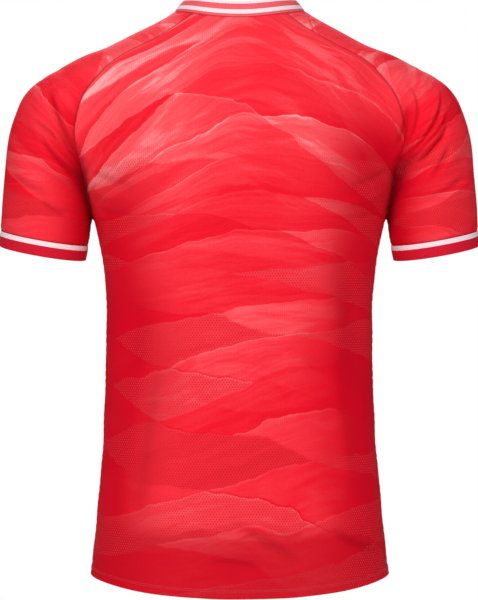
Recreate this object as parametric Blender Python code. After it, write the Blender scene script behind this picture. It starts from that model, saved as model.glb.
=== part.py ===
"""A football jersey with short raglan sleeves, hollow and filled out as if it were worn.

Metres, +Z up. The front faces -Y, the back +Y, and the wearer's left is +X. The origin is the middle
of the neck base, level with the points where the collar meets the shoulders.

The worn form is one smooth surface: a body whose sections come from BODY_LEVELS, joined to two arms
whose sections come from ARM_LEVELS. Each cut piece is a grid of points laid on that surface between
its seams, pushed out or in by the folds, and given the thickness of the knit.
"""

import bpy
import numpy as np

# ---- driving sizes -------------------------------------------------------------------------------
CLOTH_WALL = 0.0015
RIB_WALL = 0.0022
SEAM_GAP = 0.0003

NECK_HALF_WIDTH = 0.0825
NECK_BACK_REACH = 0.075
NECK_FRONT_REACH = 0.090
NECK_BACK_DROP = 0.0137
NECK_FRONT_DROP = 0.082
NECK_FRONT_ROUNDNESS = 1.25  # 1 is a half circle, 2 is nearer a V
NECK_BACK_SEAM_ANGLE = 46.0  # degrees round the neck from the back centre to the raglan seam
NECK_FRONT_SEAM_ANGLE = 128.0
COLLAR_HEIGHT = 0.0205
COLLAR_LEAN = {"side": 0.84, "back": 0.27, "front": 0.50}  # inward run for each unit of rise

UNDERARM_Z = -0.2609
UNDERARM_Y = -0.0050
SIDE_SEAM_TURN = 0.060  # over this height the side seam bends forward to the underarm
HEM_Z = -0.706
BACK_HEM_DROP = 0.021
FRONT_HEM_DROP = 0.006
CUFF_HEIGHT = 0.020
CUFF_EDGE = 0.1765  # down the arm from the shoulder point
CUFF_SEAM = CUFF_EDGE - CUFF_HEIGHT

# ---- how finely each piece is drawn --------------------------------------------------------------
BODY_ACROSS_CELLS = 22
SIDE_SEAM_CELLS = 16
RAGLAN_CELLS = 20
SLEEVE_AROUND_CELLS = 26
UNDERARM_SEAM_CELLS = 3
BAND_CELLS = 2
NECK_ROWS_START = 0.375  # how far up the raglan seams the rows start to curve round the neck

# ---- the worn form -------------------------------------------------------------------------------
# A section of the body at each height: half its width, its depth behind and in front of the middle
# plane, and how square its corners are (2 is an ellipse).
BODY_COLUMNS = ("z", "half_width", "back", "front", "squareness")
BODY_LEVELS = (
    (-0.760, 0.192, 0.092, 0.106, 2.30),
    (-0.730, 0.1895, 0.102, 0.110, 2.30),
    (-0.700, 0.1865, 0.110, 0.113, 2.30),  # hem
    (-0.660, 0.1825, 0.1145, 0.1145, 2.25),
    (-0.615, 0.1778, 0.111, 0.1145, 2.25),
    (-0.551, 0.1717, 0.104, 0.115, 2.20),
    (-0.475, 0.1691, 0.099, 0.116, 2.20),
    (-0.410, 0.1675, 0.100, 0.118, 2.20),  # waist
    (-0.350, 0.1680, 0.106, 0.121, 2.20),
    (-0.305, 0.1738, 0.111, 0.125, 2.20),
    (-0.250, 0.1857, 0.116, 0.128, 2.20),  # chest
    (-0.215, 0.1950, 0.118, 0.127, 2.20),
    (-0.180, 0.2020, 0.117, 0.123, 2.15),
    (-0.130, 0.2020, 0.113, 0.112, 2.10),
    (-0.095, 0.1990, 0.105, 0.099, 2.05),
    (-0.070, 0.2030, 0.098, 0.088, 2.00),
    (-0.056, 0.1900, 0.093, 0.081, 2.00),
    (-0.041, 0.1590, 0.088, 0.074, 2.00),
    (-0.022, 0.1220, 0.080, 0.062, 2.00),
    (-0.007, 0.0945, 0.072, 0.052, 2.00),
    (0.004, 0.0780, 0.064, 0.046, 2.00),
    (0.030, 0.0500, 0.045, 0.032, 2.00),
)

# The left arm hangs from the shoulder, outwards and a little forwards, and the right mirrors it.
# A section at each distance down the arm: where its middle is, and half its width and depth. Above
# the shoulder point the arm closes in a dome.
SHOULDER_POINT = np.array((0.210, 0.004, -0.131))
ARM_SPREAD = 10.0  # degrees
ARM_FORWARD = 5.0
DOME_HEIGHT = 0.0536
DOME_SQUARENESS = 2.4  # 2 is round
ARM_COLUMNS = ("along", "middle_out", "half_width", "half_depth")
ARM_LEVELS = (
    (-0.040, 0.0040, 0.0535, 0.0620),
    (0.000, 0.0105, 0.0580, 0.0650),
    (0.040, 0.0185, 0.0555, 0.0650),
    (0.080, 0.0185, 0.0535, 0.0640),
    (0.120, 0.0120, 0.0566, 0.0620),
    (0.160, 0.0091, 0.0559, 0.0600),
    (0.200, 0.0084, 0.0541, 0.0590),
    (0.240, 0.0080, 0.0525, 0.0580),
)
SHOULDER_BLEND = 0.045  # how softly the arm flows into the body at the shoulder
UNDERARM_BLEND = 0.008  # and under the arm, where the cloth turns sharply
BLEND_START_Z = -0.235  # from here up over the rise the one becomes the other
BLEND_RISE = 0.115

# ---- the seams -----------------------------------------------------------------------------------
# Lines along the left sleeve from the underarm to the collar: the back raglan seam, the ridge of the
# shoulder and the front raglan seam.
SLEEVE_COLUMNS = (
    "back_x", "back_y", "back_z",
    "top_x", "top_y", "top_z",
    "front_x", "front_y", "front_z",
)
SLEEVE_LINES = (
    (0.1850, -0.0050, -0.2609, 0.2985, 0.000, -0.232, 0.1850, -0.0050, -0.2609),
    (0.1874, 0.0120, -0.249, 0.2975, 0.000, -0.209, 0.1864, -0.0211, -0.249),
    (0.1914, 0.0208, -0.2300, 0.294, 0.000, -0.187, 0.1901, -0.0278, -0.230),
    (0.1964, 0.0428, -0.1954, 0.290, 0.001, -0.160, 0.1953, -0.0433, -0.197),
    (0.2037, 0.0612, -0.1623, 0.284, 0.002, -0.134, 0.1980, -0.0560, -0.164),
    (0.2006, 0.0685, -0.1338, 0.270, 0.002, -0.107, 0.194, -0.0618, -0.135),
    (0.1859, 0.0620, -0.0952, 0.238, 0.002, -0.077, 0.180, -0.0590, -0.098),
    (0.1655, 0.0600, -0.0718, 0.202, 0.002, -0.060, 0.160, -0.0580, -0.076),
    (0.1308, 0.0625, -0.0520, 0.155, 0.002, -0.040, 0.127, -0.0625, -0.058),
    (0.0874, 0.0620, -0.0284, 0.108, 0.001, -0.015, 0.088, -0.0620, -0.040),
    (0.0600, 0.0560, -0.0080, 0.0825, 0.000, 0.000, 0.065, -0.0590, -0.030),
)

# ---- the largest folds ---------------------------------------------------------------------------
# Each runs through three points of the left-right and up-down plane, on the back (1) or the front
# (-1), is a ridge (+) or a trough (-), and dies away across its width and towards both ends.
FOLD_COLUMNS = ("face", "x0", "z0", "x1", "z1", "x2", "z2", "width", "height")
FOLDS = (
    (1, 0.243, -0.094, 0.224, -0.150, 0.205, -0.180, 0.013, -0.0042),
    (1, 0.259, -0.135, 0.229, -0.172, 0.200, -0.205, 0.013, 0.0038),
    (1, 0.276, -0.170, 0.242, -0.205, 0.205, -0.232, 0.012, -0.0038),
    (1, -0.212, -0.095, -0.222, -0.130, -0.206, -0.170, 0.013, -0.0042),
    (1, -0.246, -0.105, -0.236, -0.150, -0.202, -0.190, 0.013, 0.0040),
    (1, -0.262, -0.135, -0.236, -0.175, -0.200, -0.206, 0.012, -0.0040),
    (1, -0.272, -0.180, -0.244, -0.205, -0.208, -0.230, 0.012, 0.0036),
    (1, -0.132, -0.262, -0.141, -0.360, -0.150, -0.470, 0.027, -0.0055),
    (1, -0.104, -0.330, -0.112, -0.400, -0.120, -0.480, 0.027, 0.0045),
    (1, 0.118, -0.360, 0.132, -0.410, 0.140, -0.450, 0.027, -0.0050),
    (1, 0.148, -0.270, 0.150, -0.310, 0.152, -0.350, 0.024, 0.0040),
    (-1, 0.246, -0.100, 0.226, -0.150, 0.198, -0.186, 0.013, -0.0042),
    (-1, 0.268, -0.150, 0.236, -0.186, 0.200, -0.216, 0.013, 0.0038),
    (-1, -0.236, -0.096, -0.224, -0.140, -0.199, -0.178, 0.013, -0.0042),
    (-1, -0.264, -0.140, -0.240, -0.180, -0.202, -0.210, 0.012, 0.0038),
    (-1, 0.128, -0.270, 0.137, -0.370, 0.142, -0.470, 0.027, -0.0055),
    (-1, -0.112, -0.300, -0.126, -0.390, -0.132, -0.490, 0.027, -0.0050),
    (-1, -0.060, -0.560, -0.020, -0.600, 0.050, -0.622, 0.028, 0.0045),
)
FOLD_CURVE_POINTS = 13
FOLD_SPREAD = 0.6  # the bell curve's spread for each unit of width
FOLD_END_POWER = 6  # how late a fold starts to fade along its length
FOLD_WRAP = 2.0  # how far a fold reaches round the side of the form

# ---- how close the points are brought to the form ------------------------------------------------
STEPS_ONTO_FORM = 24
LONGEST_STEP = 0.012
PROBE = 1e-5  # for slopes
FLATTEST_RATIO = 1.0  # slopes below these, found near the middle of the form, count as these
FLATTEST_SLOPE = 0.2

COLOURS = {
    "body": (0.78, 0.035, 0.055, 1.0),
    "sleeve": (0.78, 0.035, 0.055, 1.0),
    "collar": (0.86, 0.12, 0.14, 1.0),
    "cuff": (0.80, 0.05, 0.07, 1.0),
}
KNIT_ROUGHNESS = 0.75


def column(names, rows, name):
    """One named column of a table."""
    return np.array([row[names.index(name)] for row in rows], float)


def smooth(at, values, where):
    """A smooth curve through a table's rows, with each row's slope taken from its neighbours."""
    slopes = np.gradient(values, at)
    i = np.clip(np.searchsorted(at, where) - 1, 0, len(at) - 2)
    step = at[i + 1] - at[i]
    t = np.clip((where - at[i]) / step, 0.0, 1.0)
    start = (1 + 2 * t) * (1 - t) ** 2 * values[i] + t * (1 - t) ** 2 * step * slopes[i]
    end = t * t * (3 - 2 * t) * values[i + 1] + t * t * (t - 1) * step * slopes[i + 1]
    return start + end


def unit(vectors):
    return vectors / np.maximum(np.linalg.norm(vectors, axis=-1, keepdims=True), 1e-12)


# ---- the worn form -------------------------------------------------------------------------------
def body_level(name, z):
    return smooth(column(BODY_COLUMNS, BODY_LEVELS, "z"), column(BODY_COLUMNS, BODY_LEVELS, name), z)


def body_ratio(points):
    """1 on the body's surface, less inside it: a rounded section at each height."""
    x, y, z = np.moveaxis(points, -1, 0)
    depth = np.where(y > 0, body_level("back", z), body_level("front", z))
    power = body_level("squareness", z)
    across = np.abs(x / body_level("half_width", z)) + 1e-9
    through = np.abs(y / depth) + 1e-9
    return (across**power + through**power) ** (1 / power)


ARM_DOWN = unit(
    np.array((
        np.tan(np.radians(ARM_SPREAD)),
        -np.tan(np.radians(ARM_FORWARD)),
        -1.0,
    ))
)
ARM_BACK = unit(np.cross((1.0, 0.0, 0.0), ARM_DOWN))
ARM_OUT = np.cross(ARM_DOWN, ARM_BACK)


def arm_ratio(points):
    """1 on the left arm's surface, less inside it. Points on the right are mirrored to the left."""
    left = np.stack([np.abs(points[..., 0]), points[..., 1], points[..., 2]], -1)
    reach = left - SHOULDER_POINT
    along = reach @ ARM_DOWN
    at = column(ARM_COLUMNS, ARM_LEVELS, "along")
    level = {name: smooth(at, column(ARM_COLUMNS, ARM_LEVELS, name), along) for name in ARM_COLUMNS}
    out = (reach @ ARM_OUT - level["middle_out"]) / level["half_width"]
    back = reach @ ARM_BACK / level["half_depth"]
    dome = np.maximum(-along, 0.0) / DOME_HEIGHT
    power = DOME_SQUARENESS
    return ((out**2 + back**2 + 1e-12) ** (power / 2) + dome**power) ** (1 / power)


def slope(measure, points):
    """The rate at which a measure grows along X, Y and Z."""
    rates = []
    for axis in range(3):
        shift = np.zeros(3)
        shift[axis] = PROBE
        rates.append((measure(points + shift) - measure(points - shift)) / (2 * PROBE))
    return np.stack(rates, -1)


def distance_to(ratio, points):
    """Near a form whose ratio is 1 on it, roughly the distance to it."""
    steepness = np.linalg.norm(slope(ratio, points), axis=-1)
    return (ratio(points) - 1) / np.maximum(steepness, FLATTEST_RATIO)


def form_distance(points):
    """Distance outside the body and arms, joined by a blend that is soft on top of the shoulder."""
    body = distance_to(body_ratio, points)
    arm = distance_to(arm_ratio, points)
    height = np.clip((points[..., 2] - BLEND_START_Z) / BLEND_RISE, 0.0, 1.0)
    blend = UNDERARM_BLEND + (SHOULDER_BLEND - UNDERARM_BLEND) * height * height * (3 - 2 * height)
    near = np.maximum(blend - np.abs(body - arm), 0.0) / blend
    return np.minimum(body, arm) - near * near * blend / 4


def onto_form(points):
    """Brings points to the form's surface along its steepest slope."""
    points = np.array(points, float)
    for _ in range(STEPS_ONTO_FORM):
        rate = slope(form_distance, points)
        size = np.maximum((rate**2).sum(-1, keepdims=True), FLATTEST_SLOPE**2)
        step = form_distance(points)[..., None] * rate / size
        length = np.linalg.norm(step, axis=-1, keepdims=True)
        points -= step * np.minimum(1.0, LONGEST_STEP / np.maximum(length, 1e-12))
    return points


def outward(points):
    return unit(slope(form_distance, points))


# ---- folds ---------------------------------------------------------------------------------------
def fold_height(points, normals):
    """How far the folds push the cloth out at each point."""
    height = np.zeros(points.shape[:-1])
    t = np.linspace(0.0, 1.0, FOLD_CURVE_POINTS)
    for face, x0, z0, x1, z1, x2, z2, width, rise in FOLDS:
        start, middle, end = np.array((x0, z0)), np.array((x1, z1)), np.array((x2, z2))
        bend = 2 * middle - (start + end) / 2
        line = (1 - t)[:, None] ** 2 * start + (2 * t * (1 - t))[:, None] * bend + (t**2)[:, None] * end
        away = points[..., None, [0, 2]] - line
        fading = (2 * t - 1) ** FOLD_END_POWER * width**2
        nearest = np.min((away**2).sum(-1) + fading, axis=-1)
        facing = np.clip(face * normals[..., 1] * FOLD_WRAP, 0.0, 1.0)
        height += rise * facing * np.exp(-nearest / (2 * (FOLD_SPREAD * width) ** 2))
    return height


# ---- seams and grids -----------------------------------------------------------------------------
def neck_ring(angles):
    """Points of the neck seam, the angle counted from the back centre towards the left shoulder."""
    turn = np.radians(angles)
    facing = np.cos(turn)
    reach = np.where(facing > 0, NECK_BACK_REACH, NECK_FRONT_REACH)
    back_drop = NECK_BACK_DROP * facing**2
    front_drop = NECK_FRONT_DROP * np.abs(facing) ** NECK_FRONT_ROUNDNESS
    drop = np.where(facing > 0, back_drop, front_drop)
    return onto_form(np.stack([NECK_HALF_WIDTH * np.sin(turn), reach * facing, -drop], -1))


def table_line(name):
    return np.stack([column(SLEEVE_COLUMNS, SLEEVE_LINES, f"{name}_{axis}") for axis in "xyz"], -1)


def sleeve_line(name):
    """A line of the left sleeve from the underarm to the collar, at the same steps for all three."""
    at = 0
    for line in map(table_line, ("back", "top", "front")):
        travel = np.concatenate([[0], np.cumsum(np.linalg.norm(np.diff(line, axis=0), axis=1))])
        at = at + travel / travel[-1] / 3
    where = np.linspace(0.0, 1.0, RAGLAN_CELLS + 1)
    return np.stack([smooth(at, values, where) for values in table_line(name).T], -1)


def side_seam():
    """The left side seam from the hem up to just under the underarm."""
    z = np.linspace(HEM_Z, UNDERARM_Z, SIDE_SEAM_CELLS + 1)[:-1]
    y = UNDERARM_Y * np.clip((z - UNDERARM_Z) / SIDE_SEAM_TURN + 1, 0.0, 1.0) ** 2
    return onto_form(np.stack([body_level("half_width", z), y, z], -1))


def neck_share(up):
    """How much a row follows the neck seam: none in the lower rows, all in the top one."""
    return np.clip((up - NECK_ROWS_START) / (1 - NECK_ROWS_START), 0.0, 1.0) ** 2


def evened(points, own_share):
    """Points moved along their rows to even spacing, except for the share of their own that they keep."""
    moved = points.copy()
    even = np.linspace(0.0, 1.0, points.shape[1])
    for row, keep in enumerate(own_share):
        steps = np.linalg.norm(np.diff(points[row], axis=0), axis=-1)
        travel = np.concatenate([[0.0], np.cumsum(steps)])
        own = travel / travel[-1]
        target = (even + (own - even) * keep) * travel[-1]
        moved[row] = np.stack([np.interp(target, travel, values) for values in points[row].T], -1)
    return onto_form(moved)


def panel_points(face):
    """The back (1) or front (-1) panel: rows from the hem to the neck, columns from right to left."""
    back = face > 0
    neck_angle = NECK_BACK_SEAM_ANGLE if back else NECK_FRONT_SEAM_ANGLE
    raglan = onto_form(sleeve_line("back" if back else "front"))
    raglan[-1] = neck_ring(np.array([neck_angle]))[0]
    edge = np.concatenate([side_seam(), raglan])
    rows = len(edge)
    up = np.clip((np.arange(rows) - SIDE_SEAM_CELLS) / RAGLAN_CELLS, 0.0, 1.0)
    hem_share = np.clip(1 - np.arange(rows) / SIDE_SEAM_CELLS, 0.0, 1.0)
    top_z = -NECK_BACK_DROP if back else -NECK_FRONT_DROP
    hem_drop = BACK_HEM_DROP if back else FRONT_HEM_DROP
    middle_z = np.where(up > 0, UNDERARM_Z + (top_z - UNDERARM_Z) * up, edge[:, 2] - hem_drop * hem_share)
    depth = body_level("back" if back else "front", middle_z)
    edge_turn = np.arccos(np.clip(face * edge[:, 1] / depth, 0.0, 0.999))
    w = np.linspace(-1.0, 1.0, BODY_ACROSS_CELLS + 1)
    turn = edge_turn[:, None] * w
    lift = np.sin(w * np.pi / 2) ** 2
    points = np.stack(
        [
            edge[:, :1] * np.sin(turn) / np.sin(edge_turn)[:, None],
            face * depth[:, None] * np.cos(turn),
            middle_z[:, None] + (edge[:, 2] - middle_z)[:, None] * lift,
        ],
        -1,
    )
    neck_turn = neck_angle if back else 180 - neck_angle
    neck = neck_ring(w * neck_turn if back else 180 - w * neck_turn)
    points += (neck - points[-1]) * neck_share(up)[:, None, None]
    points = evened(onto_form(points), neck_share(up))
    points[:, -1] = edge
    points[:, 0] = edge * (-1, 1, 1)
    points[-1] = neck
    return points


def arc_through(first, middle, last, steps):
    """Arcs of circles through three points each, at even angles."""
    a, b = first - middle, last - middle
    axis = np.cross(a, b)
    size = (axis**2).sum(-1, keepdims=True)
    uneven = (a**2).sum(-1, keepdims=True) * b - (b**2).sum(-1, keepdims=True) * a
    centre = middle + np.cross(uneven, axis) / (2 * size)
    normal = -unit(axis)
    start = first - centre
    side = np.cross(normal, start)
    finish = last - centre
    sweep = np.arctan2((finish * side).sum(-1), (finish * start).sum(-1)) % (2 * np.pi)
    turn = (sweep[:, None] * np.linspace(0.0, 1.0, steps + 1))[..., None]
    return centre[:, None] + start[:, None] * np.cos(turn) + side[:, None] * np.sin(turn)


def arm_ring(along):
    """A ring round the left arm at one distance down it, from the underarm seam over the back."""
    at = column(ARM_COLUMNS, ARM_LEVELS, "along")
    turn = np.linspace(-np.pi, np.pi, SLEEVE_AROUND_CELLS + 1)
    level = {name: smooth(at, column(ARM_COLUMNS, ARM_LEVELS, name), along) for name in ARM_COLUMNS}
    out = level["middle_out"] + level["half_width"] * np.cos(turn)
    back = -level["half_depth"] * np.sin(turn)
    middle = SHOULDER_POINT + along * ARM_DOWN
    return middle + out[:, None] * ARM_OUT + back[:, None] * ARM_BACK


def sleeve_points():
    """The left sleeve: rows from the cuff seam to the collar, columns from the back edge to the front."""
    back = onto_form(sleeve_line("back"))
    front = onto_form(sleeve_line("front"))
    back[-1] = neck_ring(np.array([NECK_BACK_SEAM_ANGLE]))[0]
    front[-1] = neck_ring(np.array([NECK_FRONT_SEAM_ANGLE]))[0]
    parted = np.zeros_like(back)
    parted[0, 1] = SEAM_GAP
    upper = arc_through(back + parted, sleeve_line("top"), front - parted, SLEEVE_AROUND_CELLS)
    neck = neck_ring(np.linspace(NECK_BACK_SEAM_ANGLE, NECK_FRONT_SEAM_ANGLE, SLEEVE_AROUND_CELLS + 1))
    own_share = neck_share(np.linspace(0.0, 1.0, RAGLAN_CELLS + 1))
    upper += (neck - upper[-1]) * own_share[:, None, None]
    upper = evened(onto_form(upper), own_share)
    upper[:, 0] = back
    upper[:, -1] = front
    upper[-1] = neck
    ring = arm_ring(CUFF_SEAM)
    share = np.linspace(0.0, 1.0, UNDERARM_SEAM_CELLS + 1)[:-1, None, None]
    lower = onto_form(ring + (upper[0] - ring) * share)
    return np.concatenate([lower, upper])


def cuff_points():
    """The left cuff: rings from its edge up to the sleeve."""
    rings = np.linspace(CUFF_EDGE, CUFF_SEAM, BAND_CELLS + 1)
    return np.stack([onto_form(arm_ring(along))[:-1] for along in rings])


def collar_points():
    """The collar: rings from the neck seam up to its edge, leaning in towards the neck."""
    back = np.linspace(-NECK_BACK_SEAM_ANGLE, NECK_BACK_SEAM_ANGLE, BODY_ACROSS_CELLS + 1)
    left = np.linspace(NECK_BACK_SEAM_ANGLE, NECK_FRONT_SEAM_ANGLE, SLEEVE_AROUND_CELLS + 1)
    front = np.linspace(NECK_FRONT_SEAM_ANGLE, 360 - NECK_FRONT_SEAM_ANGLE, BODY_ACROSS_CELLS + 1)
    angles = np.concatenate([back[:-1], left[:-1], front[:-1], 360 - left[:0:-1]])
    turn = np.radians(angles)
    lean = np.where(np.cos(turn) > 0, COLLAR_LEAN["back"], COLLAR_LEAN["front"])
    rise = unit(np.stack([-COLLAR_LEAN["side"] * np.sin(turn), -lean * np.cos(turn), 1 + 0 * turn], -1))
    share = np.linspace(0.0, 1.0, BAND_CELLS + 1)[:, None, None]
    return neck_ring(angles) + rise * COLLAR_HEIGHT * share


# ---- from grids to cloth -------------------------------------------------------------------------
def along_seam(edge, closed):
    if closed:
        return unit(np.roll(edge, -1, axis=0) - np.roll(edge, 1, axis=0))
    return unit(np.gradient(edge, axis=0))


def drawn_back(points, normals, closed):
    """The grid with its edges drawn back along the cloth, square to the seam, by half a seam's gap."""
    moved = points.copy()
    for across in (0,) if closed else (0, 1):
        grid = np.moveaxis(points, across, 0)
        facing = np.moveaxis(normals, across, 0)
        target = np.moveaxis(moved, across, 0)
        for edge, inner in ((0, 1), (-1, -2)):
            square = unit(np.cross(along_seam(grid[edge], closed), facing[edge]))
            inwards = np.sign(((grid[inner] - grid[edge]) * square).sum(-1, keepdims=True))
            target[edge] += SEAM_GAP / 2 * inwards * square
    return moved


def wall_faces(outer_points, closed, flip):
    """Triangles of a wall made of an outer grid of points, then the same grid for its inner side."""
    rows, columns = outer_points.shape[:2]
    index = np.arange(rows * columns).reshape(rows, columns)
    if closed:
        index = np.concatenate([index, index[:, :1]], axis=1)
    a, b, c, d = index[:-1, :-1], index[:-1, 1:], index[1:, 1:], index[1:, :-1]
    flat = outer_points.reshape(-1, 3)
    one_way = np.linalg.norm(flat[a] - flat[c], axis=-1)
    other_way = np.linalg.norm(flat[b] - flat[d], axis=-1)
    shorter = (one_way <= other_way)[..., None]
    first = np.where(shorter, np.stack([a, b, c], -1), np.stack([a, b, d], -1))
    second = np.where(shorter, np.stack([a, c, d], -1), np.stack([b, c, d], -1))
    outer = np.concatenate([first.reshape(-1, 3), second.reshape(-1, 3)])
    inner = outer[:, ::-1] + rows * columns
    edges = [index[0], index[-1, ::-1]]
    if not closed:
        edges = [np.concatenate([index[0], index[1:, -1], index[-1, -2::-1], index[-2::-1, 0]])]
    sides = []
    for loop in edges:
        start, end = loop[:-1], loop[1:]
        sides.append(np.stack([end, start, start + rows * columns], -1))
        sides.append(np.stack([end, start + rows * columns, end + rows * columns], -1))
    faces = np.concatenate([outer, inner] + sides)
    return faces[:, ::-1] if flip else faces


def cloth_piece(name, points, normals, wall, colour, closed=False):
    """A solid piece of cloth: its outer side is the grid, its inner side lies one wall further in."""
    outer = drawn_back(points, normals, closed)
    outer = outer + normals * fold_height(outer, normals)[..., None]
    inner = outer - normals * wall
    row_step = outer[1:, :-1] - outer[:-1, :-1]
    column_step = outer[:-1, 1:] - outer[:-1, :-1]
    facing = (np.cross(column_step, row_step) * normals[:-1, :-1]).sum()
    faces = wall_faces(outer, closed, facing < 0)
    mesh = bpy.data.meshes.new(name)
    corners = np.concatenate([outer.reshape(-1, 3), inner.reshape(-1, 3)])
    mesh.from_pydata(corners.tolist(), [], faces.tolist())
    mesh.shade_smooth()
    mesh.set_sharp_from_angle(angle=np.radians(40.0))
    mesh.materials.append(knit_material(name, colour))
    piece = bpy.data.objects.new(name, mesh)
    bpy.context.scene.collection.objects.link(piece)
    return piece


def knit_material(name, colour):
    material = bpy.data.materials.new(name + "_knit")
    material.use_nodes = True
    shader = material.node_tree.nodes["Principled BSDF"]
    shader.inputs["Base Color"].default_value = colour
    shader.inputs["Roughness"].default_value = KNIT_ROUGHNESS
    shader.inputs["Metallic"].default_value = 0.0
    return material


def collar_normals(points):
    """Square to the collar band, and in line with the shoulders' cloth at the neck seam."""
    around = np.roll(points, -1, axis=1) - np.roll(points, 1, axis=1)
    up = np.broadcast_to(points[-1] - points[0], points.shape)
    normals = unit(np.cross(up, around))
    normals *= np.sign((normals * (points - points.mean(axis=(0, 1))) * (1, 1, 0)).sum(-1, keepdims=True))
    normals[0] = outward(points[0])
    return normals


def main():
    for old in list(bpy.data.objects):
        bpy.data.objects.remove(old)
    for name, face in (("back_panel", 1), ("front_panel", -1)):
        points = panel_points(face)
        cloth_piece(name, points, outward(points), CLOTH_WALL, COLOURS["body"])
    sleeve = sleeve_points()
    cuff = cuff_points()
    for side, mirror in (("left", 1), ("right", -1)):
        turned = np.array((mirror, 1, 1))
        sleeve_normals, cuff_normals = outward(sleeve) * turned, outward(cuff) * turned
        cloth_piece("sleeve_" + side, sleeve * turned, sleeve_normals, CLOTH_WALL, COLOURS["sleeve"])
        cloth_piece("cuff_" + side, cuff * turned, cuff_normals, RIB_WALL, COLOURS["cuff"], closed=True)
    collar = collar_points()
    cloth_piece("collar", collar, collar_normals(collar), RIB_WALL, COLOURS["collar"], closed=True)


main()
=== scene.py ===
# %% [markdown]
# # A football jersey with short raglan sleeves
#
# A jersey like this is cut from seven pieces of thin polyester knit: a back, a front, two sleeves that
# run right up to the neck, a collar band and two cuff bands. It stands filled out as if somebody wore
# it, open at the neck, the hem and the cuffs.
#
# The frame already holds a plain solid for each piece. This lesson lays a finer surface on the same
# form, adds the creases that a worn jersey has, and then makes the knit, the print and the stitches.

import bpy
import numpy as np
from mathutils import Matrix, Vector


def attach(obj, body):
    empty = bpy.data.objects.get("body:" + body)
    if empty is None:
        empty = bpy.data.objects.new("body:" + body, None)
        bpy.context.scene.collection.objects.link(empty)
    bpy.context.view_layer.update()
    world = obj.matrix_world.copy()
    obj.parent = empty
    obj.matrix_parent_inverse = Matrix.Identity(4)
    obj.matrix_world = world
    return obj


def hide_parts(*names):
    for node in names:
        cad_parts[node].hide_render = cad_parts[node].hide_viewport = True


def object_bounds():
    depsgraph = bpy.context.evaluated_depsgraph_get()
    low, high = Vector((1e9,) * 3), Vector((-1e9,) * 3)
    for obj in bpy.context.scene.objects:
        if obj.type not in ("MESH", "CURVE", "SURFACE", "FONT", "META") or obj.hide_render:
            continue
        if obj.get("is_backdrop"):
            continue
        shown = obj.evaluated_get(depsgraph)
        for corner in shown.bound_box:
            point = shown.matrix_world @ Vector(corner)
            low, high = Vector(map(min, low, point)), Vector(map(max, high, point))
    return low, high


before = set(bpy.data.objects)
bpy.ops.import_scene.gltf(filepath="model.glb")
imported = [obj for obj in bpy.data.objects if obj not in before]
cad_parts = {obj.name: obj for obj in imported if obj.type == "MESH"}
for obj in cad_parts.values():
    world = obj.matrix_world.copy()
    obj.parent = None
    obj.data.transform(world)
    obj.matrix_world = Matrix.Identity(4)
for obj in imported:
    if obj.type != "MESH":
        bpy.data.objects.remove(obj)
cad_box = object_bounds()
print("nodes in the frame:", ", ".join(sorted(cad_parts)))

# %% [markdown]
# ## Smooth curves through short tables
#
# A body has no formula, but a few measured levels and a smooth curve through them describe it well. A
# spline object could draw that curve. A cubic worked out with numpy gives the same for thousands of
# heights at once, and it keeps the sizes in a table that can be read and changed.

# %% Reading a table
def smooth(at, values, where):
    """A cubic between each two rows, with a row's value at each end and the slope its neighbours give."""
    slopes = np.gradient(values, at, axis=0)
    i = np.clip(np.searchsorted(at, where) - 1, 0, len(at) - 2)
    step = at[i + 1] - at[i]
    t = np.clip((where - at[i]) / step, 0.0, 1.0)
    later = t * t * (3 - 2 * t)
    leaving, arriving = t * (1 - t) ** 2 * step, t * t * (t - 1) * step
    for column in range(values.shape[1]):
        value, slope = values[:, column], slopes[:, column]
        yield value[i] + (value[i + 1] - value[i]) * later + slope[i] * leaving + slope[i + 1] * arriving


def unit(vectors):
    """Each vector over its own length, so that every one is 1 long."""
    return vectors / np.maximum(np.linalg.norm(vectors, axis=-1, keepdims=True), 1e-12)


print("half way between 1 and 3:", *smooth(np.array((0.0, 1.0)), np.array(((1.0,), (3.0,))), np.array(0.5)))

# %% [markdown]
# ## The body of the worn form
#
# The cloth lies on a form, so the form comes first. Each level of the body is a rounded section, wider
# than it is deep and a little squarer than an ellipse. Sculpting would do too, but a formula can be
# asked for its slope anywhere, and that is what later brings every point of the cloth to the surface.

# %% Body sections, in metres
BODY_LEVELS = (  # z, half width, depth behind, depth in front, squareness
    (-0.760, 0.192, 0.092, 0.106, 2.30),
    (-0.730, 0.1895, 0.102, 0.110, 2.30),
    (-0.700, 0.1865, 0.110, 0.113, 2.30),  # hem
    (-0.660, 0.1825, 0.1145, 0.1145, 2.25),
    (-0.615, 0.1778, 0.111, 0.1145, 2.25),
    (-0.551, 0.1717, 0.104, 0.115, 2.20),
    (-0.475, 0.1691, 0.099, 0.116, 2.20),
    (-0.410, 0.1675, 0.100, 0.118, 2.20),  # waist
    (-0.350, 0.1680, 0.106, 0.121, 2.20),
    (-0.305, 0.1738, 0.111, 0.125, 2.20),
    (-0.250, 0.1857, 0.116, 0.128, 2.20),  # chest
    (-0.215, 0.1950, 0.118, 0.127, 2.20),
    (-0.180, 0.2020, 0.117, 0.123, 2.15),
    (-0.130, 0.2020, 0.113, 0.112, 2.10),
    (-0.095, 0.1990, 0.105, 0.099, 2.05),
    (-0.070, 0.2030, 0.098, 0.088, 2.00),
    (-0.056, 0.1900, 0.093, 0.081, 2.00),
    (-0.041, 0.1590, 0.088, 0.074, 2.00),
    (-0.022, 0.1220, 0.080, 0.062, 2.00),
    (-0.007, 0.0945, 0.072, 0.052, 2.00),
    (0.004, 0.0780, 0.064, 0.046, 2.00),
    (0.030, 0.0500, 0.045, 0.032, 2.00),
)
BODY = np.array(BODY_LEVELS)


def body_level(z):
    """The half width, the depth behind, the depth in front and the squareness at these heights."""
    return smooth(BODY[:, 0], BODY[:, 1:], z)


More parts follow.
